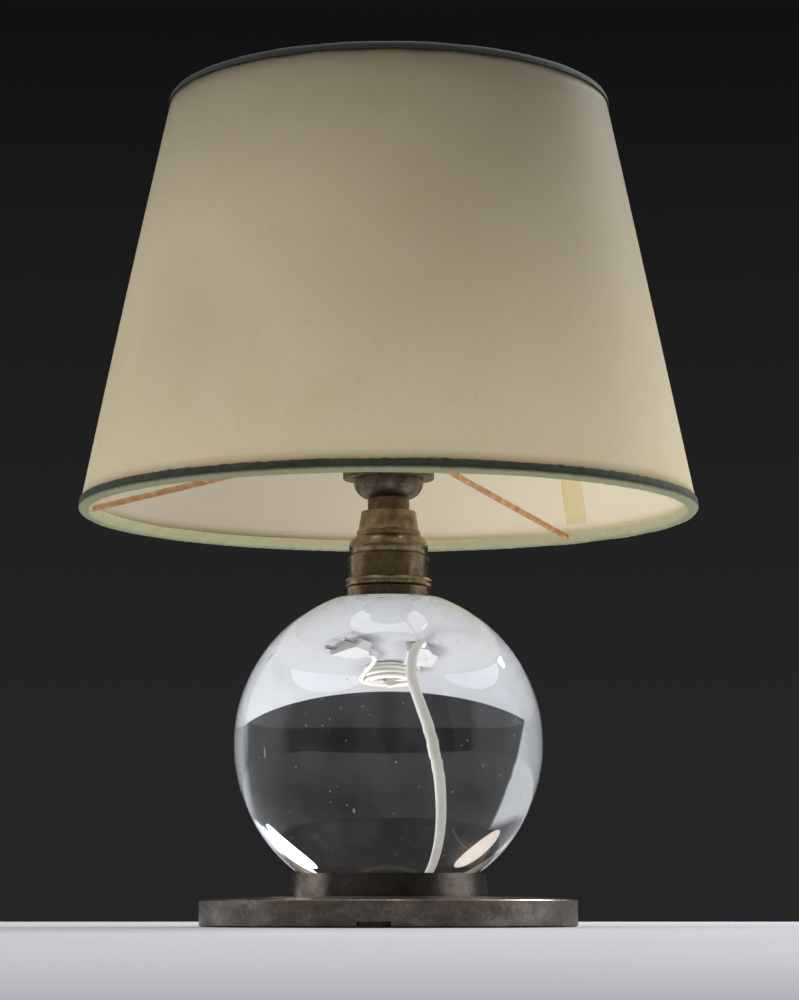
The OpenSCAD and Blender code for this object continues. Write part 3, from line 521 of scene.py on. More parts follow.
@dataclass(frozen=True)
class WovenTape:
    """Cotton tape round the shade's edges: grey-green, with painted shade on its outer lap and
    painted light on the roll and the inner lap.
    """

    name: str
    # lap is painted shade; roll and inside are painted light on the one tape colour
    lap: str = "#1b1c12"
    roll: str = "#b2b48c"
    inside: str = "#f2f2c0"
    worn_tone: str = "#7d8562"
    worn: float = 0.15
    wear_mm: float = 5.0
    wander_mm: float = 0.8
    width_mm: float = 16.0
    thread_mm: float = 0.45
    thread_depth_mm: float = 0.05

    def make(self) -> bpy.types.Material:
        """Builds the material.

        Returns:
            The new material.
        """
        material, tree, coords = start_material(self.name)
        # The piece's own UV map: metres along the tape and metres across it
        cut = add(tree, "ShaderNodeSeparateXYZ", {0: coords.outputs["UV"]})
        step = 2 * math.pi / (self.thread_mm * MM)
        threads = []
        for way in "XY":
            along = add(tree, "ShaderNodeMath", {0: cut.outputs[way], 1: step}, operation="MULTIPLY")
            threads.append(add(tree, "ShaderNodeMath", {0: along}, operation="SINE"))
        weave = add(tree, "ShaderNodeMath", {0: threads[0], 1: threads[1]}, operation="MULTIPLY")
        wear = grain(tree, coords, self.wear_mm, 6.0, rough=0.65)
        place = add(
            tree, "ShaderNodeMath", {0: wear, 1: self.wander_mm * MM, 2: cut.outputs["Y"]},
            operation="MULTIPLY_ADD",
        )
        across = add(tree, "ShaderNodeMapRange", {"Value": place, "From Max": self.width_mm * MM})
        # One tape colour in three tones across its width: painted shade on the outer lap, painted
        # light on the roll and the inner lap
        painted_tape_tones = add(
            tree, "ShaderNodeValToRGB", {"Fac": across},
            [(0.0, self.lap), (0.23, self.lap), (0.30, self.roll), (0.50, self.roll),
             (0.60, self.inside), (1.0, self.inside)],
        )
        faded = add(
            tree, "ShaderNodeMapRange",
            {"Value": wear, "From Min": 0.3, "From Max": 0.7, "To Min": self.worn, "To Max": 0.0},
        )
        colour = add(
            tree, "ShaderNodeMix", {"Factor": faded, "A": painted_tape_tones, "B": linear(self.worn_tone)},
            data_type="RGBA",
        )
        relief = add(
            tree, "ShaderNodeBump",
            {"Height": weave, "Distance": self.thread_depth_mm * MM, "Strength": 0.6},
        )
        cotton = add(
            tree, "ShaderNodeBsdfPrincipled",
            {"Base Color": colour, "Roughness": 0.85, "Sheen Weight": 0.05, "Normal": relief},
        )
        add(tree, "ShaderNodeOutputMaterial", {"Surface": cotton})
        return material


@dataclass(frozen=True)
class SeamTape:
    """Gummed seam strip, yellowed with age, that lets light through."""

    name: str = "yellowed gummed strip"
    light: str = "#fffaea"
    dark: str = "#fdf5dc"
    through: str = "#fffdee"
    age_mm: float = 7.0
    crinkle_mm: float = 1.2
    crinkle_depth_mm: float = 0.02
    glow: float = 0.8

    def make(self) -> bpy.types.Material:
        """Builds the material.

        Returns:
            The new material.
        """
        material, tree, coords = start_material(self.name)
        age = grain(tree, coords, self.age_mm, 5.0)
        colour = add(
            tree, "ShaderNodeValToRGB", {"Fac": age}, [(0.3, self.dark), (0.7, self.light)]
        )
        relief = add(
            tree, "ShaderNodeBump",
            {"Height": grain(tree, coords, self.crinkle_mm, 3.0),
             "Distance": self.crinkle_depth_mm * MM, "Strength": 0.4},
        )
        strip = add(
            tree, "ShaderNodeBsdfPrincipled",
            {"Base Color": colour, "Roughness": 0.5, "Normal": relief},
        )
        through = add(tree, "ShaderNodeBsdfTranslucent", {"Color": linear(self.through)})
        mixed = add(tree, "ShaderNodeMixShader", {0: self.glow, 1: strip, 2: through})
        add(tree, "ShaderNodeOutputMaterial", {"Surface": mixed})
        return material


@dataclass(frozen=True)
class CopperedWire:
    """Copper-washed steel wire with rust freckles and drawing lines."""

    name: str = "coppered frame wire"
    bright: str = "#e8c296"
    middle: str = "#d3a06c"
    dark: str = "#b58355"
    rust_mm: float = 3.0
    rust_depth_mm: float = 0.02

    def make(self) -> bpy.types.Material:
        """Builds the material.

        Returns:
            The new material.
        """
        material, tree, coords = start_material(self.name)
        rust = grain(tree, coords, self.rust_mm, 6.0, rough=0.65)
        colour = add(
            tree, "ShaderNodeValToRGB", {"Fac": rust},
            [(0.30, self.dark), (0.45, self.middle), (0.7, self.bright)],
        )
        rough = add(
            tree, "ShaderNodeMapRange",
            {"Value": rust, "From Min": 0.35, "From Max": 0.65, "To Min": 0.5, "To Max": 0.34},
        )
        relief = add(
            tree, "ShaderNodeBump",
            {"Height": rust, "Distance": self.rust_depth_mm * MM, "Strength": 1.0},
        )
        wire = add(
            tree, "ShaderNodeBsdfPrincipled",
            {"Base Color": colour, "Metallic": 0.75, "Roughness": rough, "Normal": relief},
        )
        add(tree, "ShaderNodeOutputMaterial", {"Surface": wire})
        return material


@dataclass(frozen=True)
class Moulding:
    """Moulded or extruded plastic, rubber or glazed ware: even colour with a fine skin."""

    name: str
    colour: str
    shadow: str
    roughness: float = 0.4
    grain_mm: float = 0.5
    depth_mm: float = 0.008
    coat: float = 0.0
    clouds: float = 14

    def make(self) -> bpy.types.Material:
        """Builds the material.

        Returns:
            The new material.
        """
        material, tree, coords = start_material(self.name)
        cloud = grain(tree, coords, self.grain_mm * self.clouds)
        skin = grain(tree, coords, self.grain_mm, 3.0)
        colour = add(
            tree, "ShaderNodeValToRGB", {"Fac": cloud}, [(0.3, self.shadow), (0.6, self.colour)]
        )
        rough = add(
            tree, "ShaderNodeMapRange",
            {"Value": skin, "To Min": self.roughness + 0.08, "To Max": self.roughness - 0.06},
        )
        relief = add(
            tree, "ShaderNodeBump",
            {"Height": skin, "Distance": self.depth_mm * MM, "Strength": 0.5},
        )
        moulded = add(
            tree, "ShaderNodeBsdfPrincipled",
            {"Base Color": colour, "Roughness": rough, "Coat Weight": self.coat,
             "Normal": relief},
        )
        add(tree, "ShaderNodeOutputMaterial", {"Surface": moulded})
        return material


@dataclass(frozen=True)
class Felt:
    """Pressed wool felt: dark, matt and hairy."""

    name: str = "pressed wool felt"
    light: str = "#34363a"
    dark: str = "#191a1c"
    hair_mm: float = 0.7
    hair_depth_mm: float = 0.15

    def make(self) -> bpy.types.Material:
        """Builds the material.

        Returns:
            The new material.
        """
        material, tree, coords = start_material(self.name)
        hair = grain(tree, coords, self.hair_mm, 6.0, rough=0.75)
        colour = add(
            tree, "ShaderNodeValToRGB", {"Fac": hair}, [(0.3, self.dark), (0.7, self.light)]
        )
        relief = add(
            tree, "ShaderNodeBump",
            {"Height": hair, "Distance": self.hair_depth_mm * MM, "Strength": 1.0},
        )
        wool = add(
            tree, "ShaderNodeBsdfPrincipled",
            {"Base Color": colour, "Roughness": 0.95, "Sheen Weight": 0.4, "Normal": relief},
        )
        add(tree, "ShaderNodeOutputMaterial", {"Surface": wool})
        return material


@dataclass(frozen=True)
class TableTop:
    """Satin white laminate, so that what stands on it shows as a short blurred reflection."""

    name: str = "satin white laminate"
    tone: str = "#b4b4b6"
    roughness: float = 0.55
    shine: float = 0.2

    def make(self) -> bpy.types.Material:
        """Builds the material.

        Returns:
            The new material.
        """
        material, tree, _ = start_material(self.name)
        laminate = add(
            tree, "ShaderNodeBsdfPrincipled",
            {"Base Color": linear(self.tone), "Roughness": self.roughness,
             "Specular IOR Level": self.shine},
        )
        add(tree, "ShaderNodeOutputMaterial", {"Surface": laminate})
        return material


def grid_mesh(
    name: str, points: np.ndarray, close_rows: bool, close_columns: bool, uv: np.ndarray | None = None
) -> bpy.types.Object:
    """Makes a mesh from a grid of points.

    A quad joins each point to its neighbours in the next row and column, and a closed
    direction joins the last line back to the first.

    Args:
        name: The object's name.
        points: An array of rows by columns by 3, in metres.
        close_rows: Whether the last row joins the first.
        close_columns: Whether the last column joins the first.
        uv: An array of (rows + 1) by (columns + 1) by 2, or None.

    Returns:
        The new object, linked to the scene.
    """
    rows, columns = points.shape[:2]
    i = np.arange(rows if close_rows else rows - 1)
    j = np.arange(columns if close_columns else columns - 1)
    i, j = np.meshgrid(i, j, indexing="ij")
    i, j = i.ravel(), j.ravel()
    up, on = (i + 1) % rows, (j + 1) % columns
    quads = np.stack(
        [i * columns + j, up * columns + j, up * columns + on, i * columns + on], axis=1
    )
    mesh = bpy.data.meshes.new(name)
    mesh.from_pydata(points.reshape(-1, 3).tolist(), [], quads.tolist())
    if uv is not None:
        corners = np.stack([uv[i, j], uv[i + 1, j], uv[i + 1, j + 1], uv[i, j + 1]], axis=1)
        mesh.uv_layers.new(name="UVMap").data.foreach_set("uv", corners.ravel())
    mesh.polygons.foreach_set("use_smooth", np.ones(len(quads), dtype=bool))
    mesh.update()
    made = bpy.data.objects.new(name, mesh)
    bpy.context.scene.collection.objects.link(made)
    return made


def hand_curve(points: np.ndarray, parts: int) -> np.ndarray:
    """Draws a smooth curve through points, each span cut in parts.

    Each span is the cubic that passes through its two ends with the slopes of half the
    step between each end's neighbours.

    Args:
        points: An array of n by 3.
        parts: How many parts each span is cut in.

    Returns:
        The curve's points, from the first to the last.
    """
    padded = np.vstack([points[:1], points, points[-1:]])
    a, b, c, d = padded[:-3], padded[1:-2], padded[2:-1], padded[3:]
    t = (np.arange(parts) / parts)[None, :, None]
    a, b, c, d = (x[:, None, :] for x in (a, b, c, d))
    spans = 0.5 * (
        2 * b + (c - a) * t + (2 * a - 5 * b + 4 * c - d) * t**2
        + (3 * b - a - 3 * c + d) * t**3
    )
    return np.vstack([spans.reshape(-1, 3), points[-1:]])


def ripple(angle: np.ndarray, waves: range, seed: int) -> np.ndarray:
    """Sums sines round a circle with seeded strengths and phases.

    Args:
        angle: Angles in radians.
        waves: The whole numbers of waves round the circle.
        seed: The random seed.

    Returns:
        Values of about minus one to one.
    """
    rng = np.random.default_rng(seed)
    counts = np.array(list(waves))[:, None]
    strength = rng.uniform(0.3, 1.0, len(counts))[:, None]
    phase = rng.uniform(0, 2 * math.pi, len(counts))[:, None]
    total = (strength * np.sin(counts * angle.ravel()[None, :] + phase)).sum(axis=0)
    return (total / np.sqrt((strength**2).sum() * 2)).reshape(angle.shape)


@dataclass
class CordSet:
    """The flex: one continuous lead from the drum through the switch and coil to the plug."""

    diameter: float = 5 * MM
    exit: tuple[float, float, float] = (0.0, 0.038, 0.139242)
    switch_at: tuple[float, float] = (-0.028, 0.252)
    switch_l: float = 60 * MM
    switch_z: float = 6.5 * MM
    coil_edge: tuple[float, float] = (-0.036, 0.330)
    coil_mid_r: float = 26.5 * MM
    coil_turns: float = 8.5
    coil_layers: int = 4
    coil_low_z: float = 3.4 * MM
    coil_step: float = 5.45 * MM
    rings_per_turn: int = 48
    plug_z: float = 7 * MM
    long_parts: int = 6
    short_parts: int = 4
    pieces_on_it: list[str] = field(
        default_factory=lambda: [
            "cord_relief", "switch_base", "switch_cover", "switch_rocker", "switch_screws",
            "coil_tie", "plug_body", "plug_pins",
        ]
    )

    def run(self) -> np.ndarray:
        """Lays the stretch from the drum to the switch through given points.

        Returns:
            An array of n by 3, in metres.
        """
        x, y, z = (v / MM for v in self.exit)
        free = [
            [x, y, z], [x, y + 12, z], [-3, 66, 139], [-8, 84, 138.5], [-14, 103, 137],
            [-19, 122, 133], [-22, 140, 126], [-23, 155, 115], [-22, 166, 101],
            [-19, 173, 85], [-14, 177, 68], [-11, 179, 54], [-12, 181, 42], [-15, 184, 31],
            [-19, 188.5, 21.5], [-23, 195, 13.5], [-26, 203.5, 8.2], [-28, 213, 6.5],
        ]
        return np.vstack([np.array(free) * MM, self.switch_end(-1)])

    def switch_end(self, side: int) -> np.ndarray:
        """Finds the middle of one of the switch's end faces.

        Args:
            side: -1 for the face on the lamp's side, 1 for the one on the plug's.

        Returns:
            Its place, in metres.
        """
        return np.array([
            self.switch_at[0], self.switch_at[1] + side * self.switch_l / 2, self.switch_z
        ])

    def link(self) -> np.ndarray:
        """Lays the stretch from the switch to the coil through given points.

        Returns:
            An array of n by 3, in metres.
        """
        free = [
            [-28, 290, 6.3], [-29.2, 298, 5.3], [-31.8, 306, 4.2], [-34.4, 314, 3.6],
            [-35.8, 320, 3.4], [-36, 325, self.coil_low_z / MM],
        ]
        return np.vstack([self.switch_end(1), np.array(free) * MM])

    def coil(self) -> np.ndarray:
        """Winds the coil.

        The radius goes in and out by one step a turn, and the height goes up one layer in
        the half turn where the spiral turns back.

        Returns:
            An array of n by 3, in metres.
        """
        per_layer = self.coil_turns / self.coil_layers
        s = np.linspace(0, self.coil_turns, int(self.coil_turns * self.rings_per_turn) + 1)
        inner = self.coil_mid_r - per_layer * self.coil_step / 2
        outer = self.coil_mid_r + per_layer * self.coil_step / 2
        within = s - 2 * per_layer * np.floor(s / (2 * per_layer))
        r = inner + self.coil_step * np.abs(within - per_layer)
        layers = np.arange(1, self.coil_layers)[:, None] * per_layer
        rise = np.clip(2 * (s[None, :] - layers) + 0.5, 0, 1)
        z = self.coil_low_z + self.coil_step * (rise * rise * (3 - 2 * rise)).sum(axis=0)
        turn = math.pi - 2 * math.pi * s
        centre = (self.coil_edge[0] + outer, self.coil_edge[1])
        return np.stack([centre[0] + r * np.cos(turn), centre[1] + r * np.sin(turn), z], axis=1)

    def tail(self) -> np.ndarray:
        """Lays the stretch from the coil to the plug through given points.

        Returns:
            An array of n by 3, in metres.
        """
        high = (self.coil_low_z + (self.coil_layers - 1) * self.coil_step) / MM
        plug = self.plug_z / MM
        return np.array([
            [28.58, 325, high], [28.3, 317, 19.5], [26.6, 308, 18.2], [23, 299, 15.8],
            [18.2, 290, 12.8], [14, 281, 9.8], [11.9, 272, 7.6], [12.4, 264, plug],
            [15.5, 256, plug],
        ]) * MM

    def build(self, sheath: bpy.types.Material) -> bpy.types.Object:
        """Args:
            sheath: The cord's material.

        Returns:
            The curve object.
        """
        line = np.vstack([
            hand_curve(self.run(), self.long_parts), hand_curve(self.link(), self.short_parts),
            self.coil(), hand_curve(self.tail(), self.short_parts),
        ])
        curve = bpy.data.curves.new("flex", "CURVE")
        curve.dimensions = "3D"
        spline = curve.splines.new("POLY")
        spline.points.add(len(line) - 1)
        spline.points.foreach_set("co", np.c_[line, np.ones(len(line))].ravel())
        spline.use_smooth = True
        curve.bevel_depth = self.diameter / 2
        curve.bevel_resolution = 5
        curve.use_fill_caps = True
        made = bpy.data.objects.new("flex", curve)
        bpy.context.scene.collection.objects.link(made)
        curve.materials.append(sheath)
        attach(made, Body.LAMP.value)
        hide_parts("cord_run", "cord_link", "cord_coil", "cord_tail")
        return made


@dataclass
class Shade:
    """The parchment shade and the tape that binds its edges."""

    bottom_d: float = 242.4 * MM
    top_d: float = 175.2 * MM
    height: float = 166.9 * MM
    low_z: float = 159.742 * MM
    paper_t: float = 0.9 * MM
    tape_t: float = 0.5 * MM
    wire_d: float = 2.4 * MM
    layer_gap: float = 0.2 * MM
    lower_lap: float = 4.4 * MM
    upper_lap: float = 3.9 * MM
    inner_lap: float = 5.0 * MM
    wave_mm: float = 0.35
    pucker_mm: float = 0.07
    sway_mm: float = 0.10
    crease_mm: float = 0.35
    edge_mm: float = 0.22
    lap_share: float = 0.35
    rows: int = 28
    columns: int = 720

    def __post_init__(self) -> None:
        """Works out the two folds that carry the paper's edges."""
        self.fold_r = (self.wire_d + self.paper_t + 3 * self.layer_gap) / 2
        self.trim_r = self.fold_r + self.tape_t
        self.low_fold = np.array([self.bottom_d / 2 - self.trim_r, self.low_z + self.trim_r])
        self.high_fold = np.array(
            [self.top_d / 2 - self.trim_r, self.low_z + self.height - self.trim_r]
        )
        step = self.high_fold - self.low_fold
        self.run = float(np.linalg.norm(step))
        self.lean = math.atan2(-step[0], step[1])

    def on_wall(
        self, fold: np.ndarray, across: np.ndarray, up: np.ndarray
    ) -> tuple[np.ndarray, np.ndarray]:
        """Turns places across and up the wall into radius and height.

        The wall's own axes are turned by its lean round the fold's centre.

        Args:
            fold: Radius and height of the fold's centre.
            across: How far out from the wall's middle, in metres.
            up: How far up along the wall, in metres.

        Returns:
            The radii and the heights.
        """
        c, s = math.cos(self.lean), math.sin(self.lean)
        return fold[0] + across * c - up * s, fold[1] + across * s + up * c

    def revolve(self, name: str, r: np.ndarray, z: np.ndarray, v: np.ndarray) -> bpy.types.Object:
        """Closes a profile into a ring.

        Args:
            name: The piece's name.
            r: Radii, an array of columns by profile points.
            z: Heights, of the same shape.
            v: Distance along the profile, one more than its points.

        Returns:
            The new object, with a UV map of metres along and across.
        """
        angle = self.angles()
        points = np.stack([r * np.cos(angle), r * np.sin(angle), z], axis=2)
        u = np.linspace(0, 2 * math.pi, self.columns + 1) * float(r.mean())
        uv = np.stack(np.meshgrid(u, v, indexing="ij"), axis=2)
        return grid_mesh(name, points, True, True, uv)

    def angles(self) -> np.ndarray:
        """Returns the columns' angles as one column of numbers."""
        return (np.arange(self.columns) * 2 * math.pi / self.columns)[:, None]

    def paper(self, finish: bpy.types.Material) -> bpy.types.Object:
        """Makes the card wall: a cone with slow waves round it, closed at both edges.

        The profile goes down the outside and up the inside. The waves are a sum of sines
        round the cone, strongest halfway up and nothing at the edges.

        Args:
            finish: The card's material.

        Returns:
            The new object.
        """
        t = np.linspace(0, 1, self.rows + 1)
        out = np.full(self.rows + 1, self.fold_r - self.layer_gap)
        across = np.concatenate([out, out - self.paper_t])
        up = np.concatenate([t[::-1], t]) * self.run
        angle = self.angles()
        belly = np.sin(np.clip(up / self.run, 0, 1) * math.pi)[None, :]
        wave = self.wave_mm * MM * (ripple(angle, range(2, 7), 3) * belly)
        r, z = self.on_wall(self.low_fold, across[None, :] + wave, up[None, :] + 0 * wave)
        turn = self.run + self.paper_t
        v = np.concatenate([t * self.run, turn + t * self.run, [turn + self.run + self.paper_t]])
        made = self.revolve("shade_card", r, z, v)
        made.data.materials.append(finish)
        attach(made, Body.SHADE.value)
        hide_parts("shade_paper")
        return made

    def tape(self, edge: Edge, finish: bpy.types.Material) -> bpy.types.Object:
        """Makes a folded tape: two laps and a half-round roll, puckered all round.

        The profile goes down the outer lap, round the roll, up the inner lap and back on
        the tape's other face. Each column is pushed out by short ripples, strongest on the
        roll, and the laps' edges wander.

        Args:
            edge: The edge that it binds. The upper edge's tape is turned over.
            finish: The tape's material.

        Returns:
            The new object.
        """
        upper = edge is Edge.UPPER
        lap = (self.upper_lap if upper else self.lower_lap) - self.trim_r
        inner = self.inner_lap - self.trim_r
        bend = np.linspace(0, math.pi, 17)
        straight = np.linspace(1, 0, 5)[:-1]
        path_a = np.concatenate([np.ones(4), np.cos(bend), -np.ones(4)])
        path_u = np.concatenate([lap * straight, 0 * bend, inner * straight[::-1]])
        path_s = np.concatenate([0 * straight, -np.sin(bend), 0 * straight])
        across = np.concatenate([path_a * self.trim_r, (path_a * self.fold_r)[::-1]])
        up = np.concatenate([path_u + path_s * self.trim_r, (path_u + path_s * self.fold_r)[::-1]])
        n = len(path_a)
        angle = self.angles()
        seed = 21 if upper else 11
        fine = ripple(angle, range(60, 190, 5), seed)
        slow = ripple(angle, range(5, 30), seed + 1)
        crease = np.maximum(ripple(angle, range(90, 320, 7), seed + 2) - 0.75, 0)
        loose = self.lap_share + (1 - self.lap_share) * np.abs(path_s)
        weight = np.concatenate([loose, loose[::-1]])
        push = self.pucker_mm * fine + self.sway_mm * slow - self.crease_mm * crease
        push = push * MM * weight[None, :]
        ends = np.zeros(2 * n)
        ends[[0, n - 1, n, 2 * n - 1]] = 1.0
        wander = self.edge_mm * MM * (slow + 0.6 * fine) * ends[None, :]
        direction = np.concatenate([path_a, path_a[::-1]])[None, :]
        outward = np.concatenate([path_s, path_s[::-1]])[None, :]
        across = across[None, :] + push * direction
        up = up[None, :] + push * outward + wander
        fold = self.low_fold
        if upper:
            fold, up = self.high_fold, -up
        r, z = self.on_wall(fold, across, up)
        steps = np.hypot(np.diff(across[0, :n]), np.diff(up[0, :n]))
        along = np.concatenate([[0], np.cumsum(steps)])
        v = np.concatenate([along, along[::-1], [0]])
        if not upper:
            r, z = r[:, ::-1], z[:, ::-1]
            v = v[::-1]
        made = self.revolve(f"{edge.value}_tape", r, z, v)
        made.data.materials.append(finish)
        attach(made, Body.SHADE.value)
        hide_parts(f"{edge.value}_trim")
        return made


@dataclass
class Studio:
    """The table, the dark room and the lights, with the camera where the photograph was taken."""

    image_w: int = 799
    image_h: int = 1000
    focal_px: float = 3000.0
    distance: float = 1.1678
    camera_z: float = 6.3 * MM
    camera_x: float = 4.3 * MM
    pitch_deg: float = 7.79
    table_front: float = -0.568
    table_back: float = 0.530
    table_half_w: float = 0.9
    table_t: float = 60 * MM
    nose: float = 55 * MM
    sensor_mm: float = 24.0
    fill: float = 0.62
    fill_tone: str = "#c8c9cc"
    right_wall: str = "#c2c7ce"
    left_wall: str = "#c3c6cb"

    def camera(self) -> None:
        """Places the camera a little above the table's top, looking slightly up."""
        data = bpy.data.cameras.new("camera")
        data.sensor_fit = "VERTICAL"
        data.sensor_height = self.sensor_mm
        data.sensor_width = self.sensor_mm * self.image_w / self.image_h
        data.lens = self.sensor_mm * self.focal_px / self.image_h
        data.clip_start, data.clip_end = 0.01, 20.0
        made = bpy.data.objects.new("camera", data)
        made.location = (self.camera_x, -self.distance, self.camera_z)
        made.rotation_euler = (math.radians(90 + self.pitch_deg), 0, 0)
        bpy.context.scene.collection.objects.link(made)
        bpy.context.scene.camera = made

    def table(self) -> None:
        """Makes the table's slab: a flat top that runs over a quarter round at the front."""
        edge = self.nose
        bend = np.linspace(0, math.pi / 2, 33)
        front = np.stack([
            self.table_front + edge - edge * np.sin(bend), -edge + edge * np.cos(bend)
        ], axis=1)
        outline = np.vstack([
            [[self.table_back, -self.table_t], [self.table_back, 0]], front,
            [[self.table_front, -self.table_t]],
        ])
        x = np.array([self.table_half_w, -self.table_half_w])[:, None]
        points = np.stack([
            x + 0 * outline[None, :, 0], outline[None, :, 0] + 0 * x, outline[None, :, 1] + 0 * x
        ], axis=2)
        slab = grid_mesh("table", points, False, True)
        slab.data.polygons.foreach_set("use_smooth", np.zeros(len(slab.data.polygons), dtype=bool))
        slab.data.materials.append(TableTop().make())

    def light(
        self, name: str, at: tuple[float, float, float], aim: tuple[float, float, float],
        size: tuple[float, float], watts: float, colour: str = "#ffffff", roll_deg: float = 0.0,
        outline: Outline = Outline.OBLONG,
    ) -> None:
        """Adds one softbox.

        Args:
            name: The light's name.
            at: Where it hangs, in metres.
            aim: The point that it faces.
            size: Its width and height in metres.
            watts: Its power.
            colour: Its colour as hex.
            roll_deg: How far it is turned about the line to its aim.
            outline: Oblong or oval.
        """
        data = bpy.data.lights.new(name, "AREA")
        data.shape = outline.value
        data.size, data.size_y = size
        data.energy = watts
        data.color = linear(colour)[:3]
        made = bpy.data.objects.new(name, data)
        made.location = at
        turn = (Vector(aim) - Vector(at)).to_track_quat("-Z", "Y")
        roll = Quaternion((0, 0, 1), math.radians(roll_deg))
        made.rotation_euler = (turn @ roll).to_euler()
        bpy.context.scene.collection.objects.link(made)

    def room(self) -> None:
        """Sets the world: dark where the camera, gloss and glass look, soft grey for fill."""
        world = bpy.data.worlds.new("dark room")
        bpy.context.scene.world = world
        world.use_nodes = True
        tree = world.node_tree
        tree.nodes.clear()
        path = add(tree, "ShaderNodeLightPath").outputs
        gloss = add(
            tree, "ShaderNodeMath", {0: path["Is Camera Ray"], 1: path["Is Glossy Ray"]},
            operation="MAXIMUM",
        )
        seen = add(
            tree, "ShaderNodeMath", {0: gloss, 1: path["Is Transmission Ray"]}, operation="MAXIMUM"
        )
        coords = add(tree, "ShaderNodeTexCoord")
        way = add(tree, "ShaderNodeSeparateXYZ", {0: coords.outputs["Generated"]}).outputs
        height = add(
            tree, "ShaderNodeMapRange", {"Value": way["Z"], "From Min": -0.1, "From Max": 0.9}
        )
        wall = add(
            tree, "ShaderNodeValToRGB", {"Fac": height},
            [(0.0, "#252525"), (0.17, "#252525"), (0.30, "#1c1c1c"), (0.39, "#111111"),
             (0.52, "#282829"), (0.73, "#303030"), (1.0, "#303030")],
        )
        # Pale side walls, low down behind both shoulders and well outside the camera's view
        low = add(
            tree, "ShaderNodeMapRange",
            {"Value": way["Z"], "From Min": 0.44, "From Max": 0.50, "To Min": 1.0, "To Max": 0.0},
        )
        slant = add(
            tree, "ShaderNodeMath", {0: way["Z"], 1: -0.4, 2: way["X"]}, operation="MULTIPLY_ADD"
        )
        right = add(
            tree, "ShaderNodeMapRange", {"Value": way["X"], "From Min": 0.82, "From Max": 0.90}
        )
        left = add(
            tree, "ShaderNodeMapRange",
            {"Value": slant, "From Min": -0.765, "From Max": -0.745, "To Min": 1.0, "To Max": 0.0},
        )
        for side, near, tone in ((right, -0.50, self.right_wall), (left, -0.25, self.left_wall)):
            back = add(
                tree, "ShaderNodeMapRange",
                {"Value": way["Y"], "From Min": near, "From Max": near + 0.2},
            )
            part = add(tree, "ShaderNodeMath", {0: side, 1: back}, operation="MULTIPLY")
            part = add(tree, "ShaderNodeMath", {0: part, 1: low}, operation="MULTIPLY")
            wall = add(
                tree, "ShaderNodeMix", {"Factor": part, "A": wall, "B": linear(tone)},
                data_type="RGBA",
            )
        dark = add(tree, "ShaderNodeBackground", {"Color": wall, "Strength": 1.0})
        fill = add(
            tree, "ShaderNodeBackground",
            {"Color": linear(self.fill_tone), "Strength": self.fill},
        )
        mixed = add(tree, "ShaderNodeMixShader", {0: seen, 1: fill, 2: dark})
        add(tree, "ShaderNodeOutputWorld", {"Surface": mixed})

    def build(self) -> None:
        """Makes the whole set."""
        self.camera()
        self.table()
        self.room()
        # The key light and a weak reflector high behind the lamp: the ball shows both low down
        self.light(
            "key", (0.71, 0.67, 0.84), (0, 0, 0.12), (0.50, 0.23), 9.0,
            roll_deg=44, outline=Outline.OVAL,
        )
        self.light(
            "reflector", (-0.64, 0.77, 0.84), (0, 0, 0.12), (0.42, 0.27), 0.24, "#fff1e8",
            roll_deg=-44, outline=Outline.OVAL,
        )
        # From above, through the shade's open top, onto the inside of its wall
        self.light("rear box", (0.0, 0.35, 1.55), (0, 0, 0.2), (1.5, 1.0), 9.8)
        # A weak warm box above the camera, for the metal's faces that look at it
        self.light("front box", (0.0, -1.25, 1.35), (0, -0.1, 0.1), (1.6, 0.8), 1.3, "#ffecd2")
        # Wide boxes above the lamp's two sides, for the bright edges of metal and shade
        self.light(
            "left box", (-0.95, -0.45, 1.50), (0, 0, 0.2), (2.1, 1.5), 18.0, "#f4f7ff",
            outline=Outline.OVAL,
        )
        self.light(
            "right box", (1.05, 0.05, 1.40), (0, 0, 0.2), (1.9, 1.4), 16.0, "#e6efff",
            outline=Outline.OVAL,
        )
        bpy.context.scene.view_settings.view_transform = "Standard"


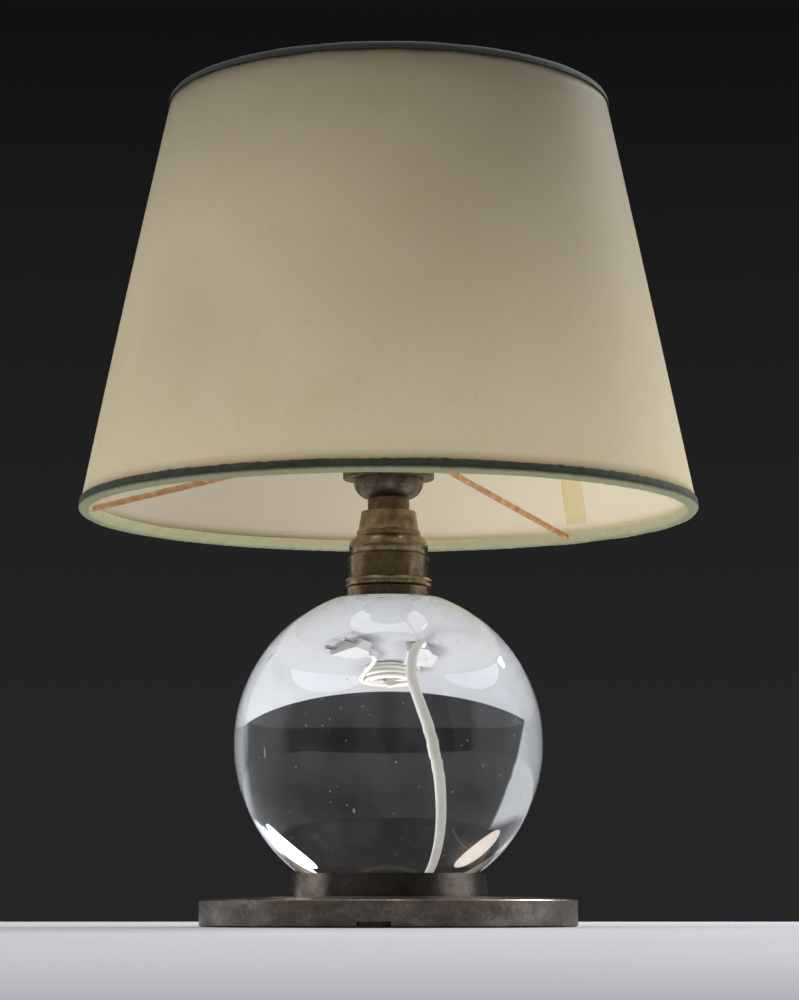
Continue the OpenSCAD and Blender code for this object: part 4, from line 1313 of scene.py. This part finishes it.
@dataclass
class Dressing:
    """Gives each CAD node that stays in view its own finish."""

    finishes: dict[str, Finish] = field(default_factory=dict)

    def __post_init__(self) -> None:
        """Lists the finishes by node."""
        turned = TurnedBrass()
        # The holder is cast and tumbled, so it is darker and freckled, with coarser lathe lines
        holder = TurnedBrass(
            "cast brass, dark patina", "#8a7a64", "#65584a", "#3a3128", roughness=0.36,
            line_mm=0.6, blotch_mm=5.0, speck=0.6,
        )
        ribs = TurnedBrass(
            "ribbed brass ring", "#a89878", "#7d6e56", "#463b2d", roughness=0.34, line_mm=0.8
        )
        bronze = BronzedBrass()
        zinc = PlainMetal("zinc-plated steel", "#c4c5c4", "#9fa19f", 0.3)
        brass = PlainMetal("plain brass", "#d9b667", "#b98f45", 0.3)
        wire = CopperedWire()
        porcelain = Moulding(
            "glazed porcelain", "#f2eee4", "#e6e0d2", 0.2, grain_mm=1.0, depth_mm=0.01, coat=0.5
        )
        white = Moulding("moulded white plastic", "#cfcfcf", "#c9c8c6", 0.42)
        self.finishes = {
            "felt_pad": Felt(),
            "base_plate": bronze, "ball_seat": bronze,
            "seat_screws": zinc, "terminal_screws": zinc, "switch_screws": zinc,
            "seat_pad": Moulding("black rubber", "#1c1c1c", "#131313", 0.7, 0.4, 0.02),
            "stem_washer": Moulding("black fibre", "#1f1d1b", "#151312", 0.8, 0.4, 0.02),
            "crystal_ball": LeadCrystal(),
            "stem_base": turned, "stem_drum": turned, "stem_bun": turned,
            "stem_collar": turned,
            "holder_cap": holder, "knurled_ring": ribs, "holder_barrel": holder,
            "lower_shade_ring": ribs, "upper_shade_ring": ribs,
            "nipple_tube": brass, "lock_nut": brass, "screw_shell": brass,
            "centre_contact": brass, "shell_contact": brass,
            "holder_insert": porcelain, "insulating_sleeve": porcelain,
            "live_wire": Moulding("brown core sheath", "#6b3f24", "#573219", 0.5),
            "neutral_wire": Moulding("blue core sheath", "#3c63ad", "#2c4d8e", 0.5),
            "bulb_glass": BulbGlass("etched bulb glass"),
            "bulb_mount": BulbGlass("clear stem glass", "#eef3f3", 0.1, 0.9),
            "bulb_cap": PlainMetal("aluminium bulb cap", "#d6d6d3", "#b3b3b0", 0.26),
            "bulb_filament": PlainMetal("drawn tungsten", "#9a9a98", "#6f6f6e", 0.4, 0.3),
            "bulb_contact": Moulding(
                "black glass seal", "#26262a", "#1a1a1d", 0.2, grain_mm=1.0, depth_mm=0.01, coat=0.6
            ),
            "fitter_ring": wire, "shade_spokes": wire, "lower_wire_ring": wire,
            "upper_wire_ring": wire,
            "seam_strip": SeamTape(),
            "cord_relief": Moulding("soft cord sleeve", "#e4dccb", "#d6cdb9", 0.55, 0.6, 0.015),
            "coil_tie": Moulding("natural nylon cable tie", "#e2dfd5", "#dad6ca", 0.42),
            "switch_base": white, "switch_cover": white, "plug_body": white,
            "switch_rocker": Moulding("grey-white rocker", "#d4d3cf", "#c9c8c3", 0.34),
            "plug_pins": PlainMetal("nickel-plated pins", "#d9d6cf", "#b5b2ab", 0.2),
        }

    def build(self) -> None:
        """Makes each finish once and puts it on its nodes."""
        made: dict[Finish, bpy.types.Material] = {}
        for node, finish in self.finishes.items():
            if finish not in made:
                made[finish] = finish.make()
            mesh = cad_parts[node].data
            mesh.materials.clear()
            mesh.materials.append(made[finish])
        log.info("dressed %d nodes in %d finishes", len(self.finishes), len(made))


def main() -> None:
    """Builds the set, the cord, the shade and the finishes."""
    logging.basicConfig(level=logging.INFO, format="%(name)s: %(message)s")
    Studio().build()
    sheath = Moulding(
        "vinyl cord sheath", "#f4efe4", "#ece5d6", 0.42, grain_mm=0.8, depth_mm=0.01
    )
    CordSet().build(sheath.make())
    Dressing().build()
    shade = Shade()
    low_tape = WovenTape("grey-green cotton tape")
    # The top tape's outer lap carries deeper painted shade
    high_tape = WovenTape("grey-green cotton tape, top", "#0b0c08", worn=0.05)
    for piece in (
        shade.paper(Parchment().make()),
        shade.tape(Edge.LOWER, low_tape.make()),
        shade.tape(Edge.UPPER, high_tape.make()),
    ):
        log.info("%s: %d faces", piece.name, len(piece.data.polygons))


if __name__ == "__main__":
    main()
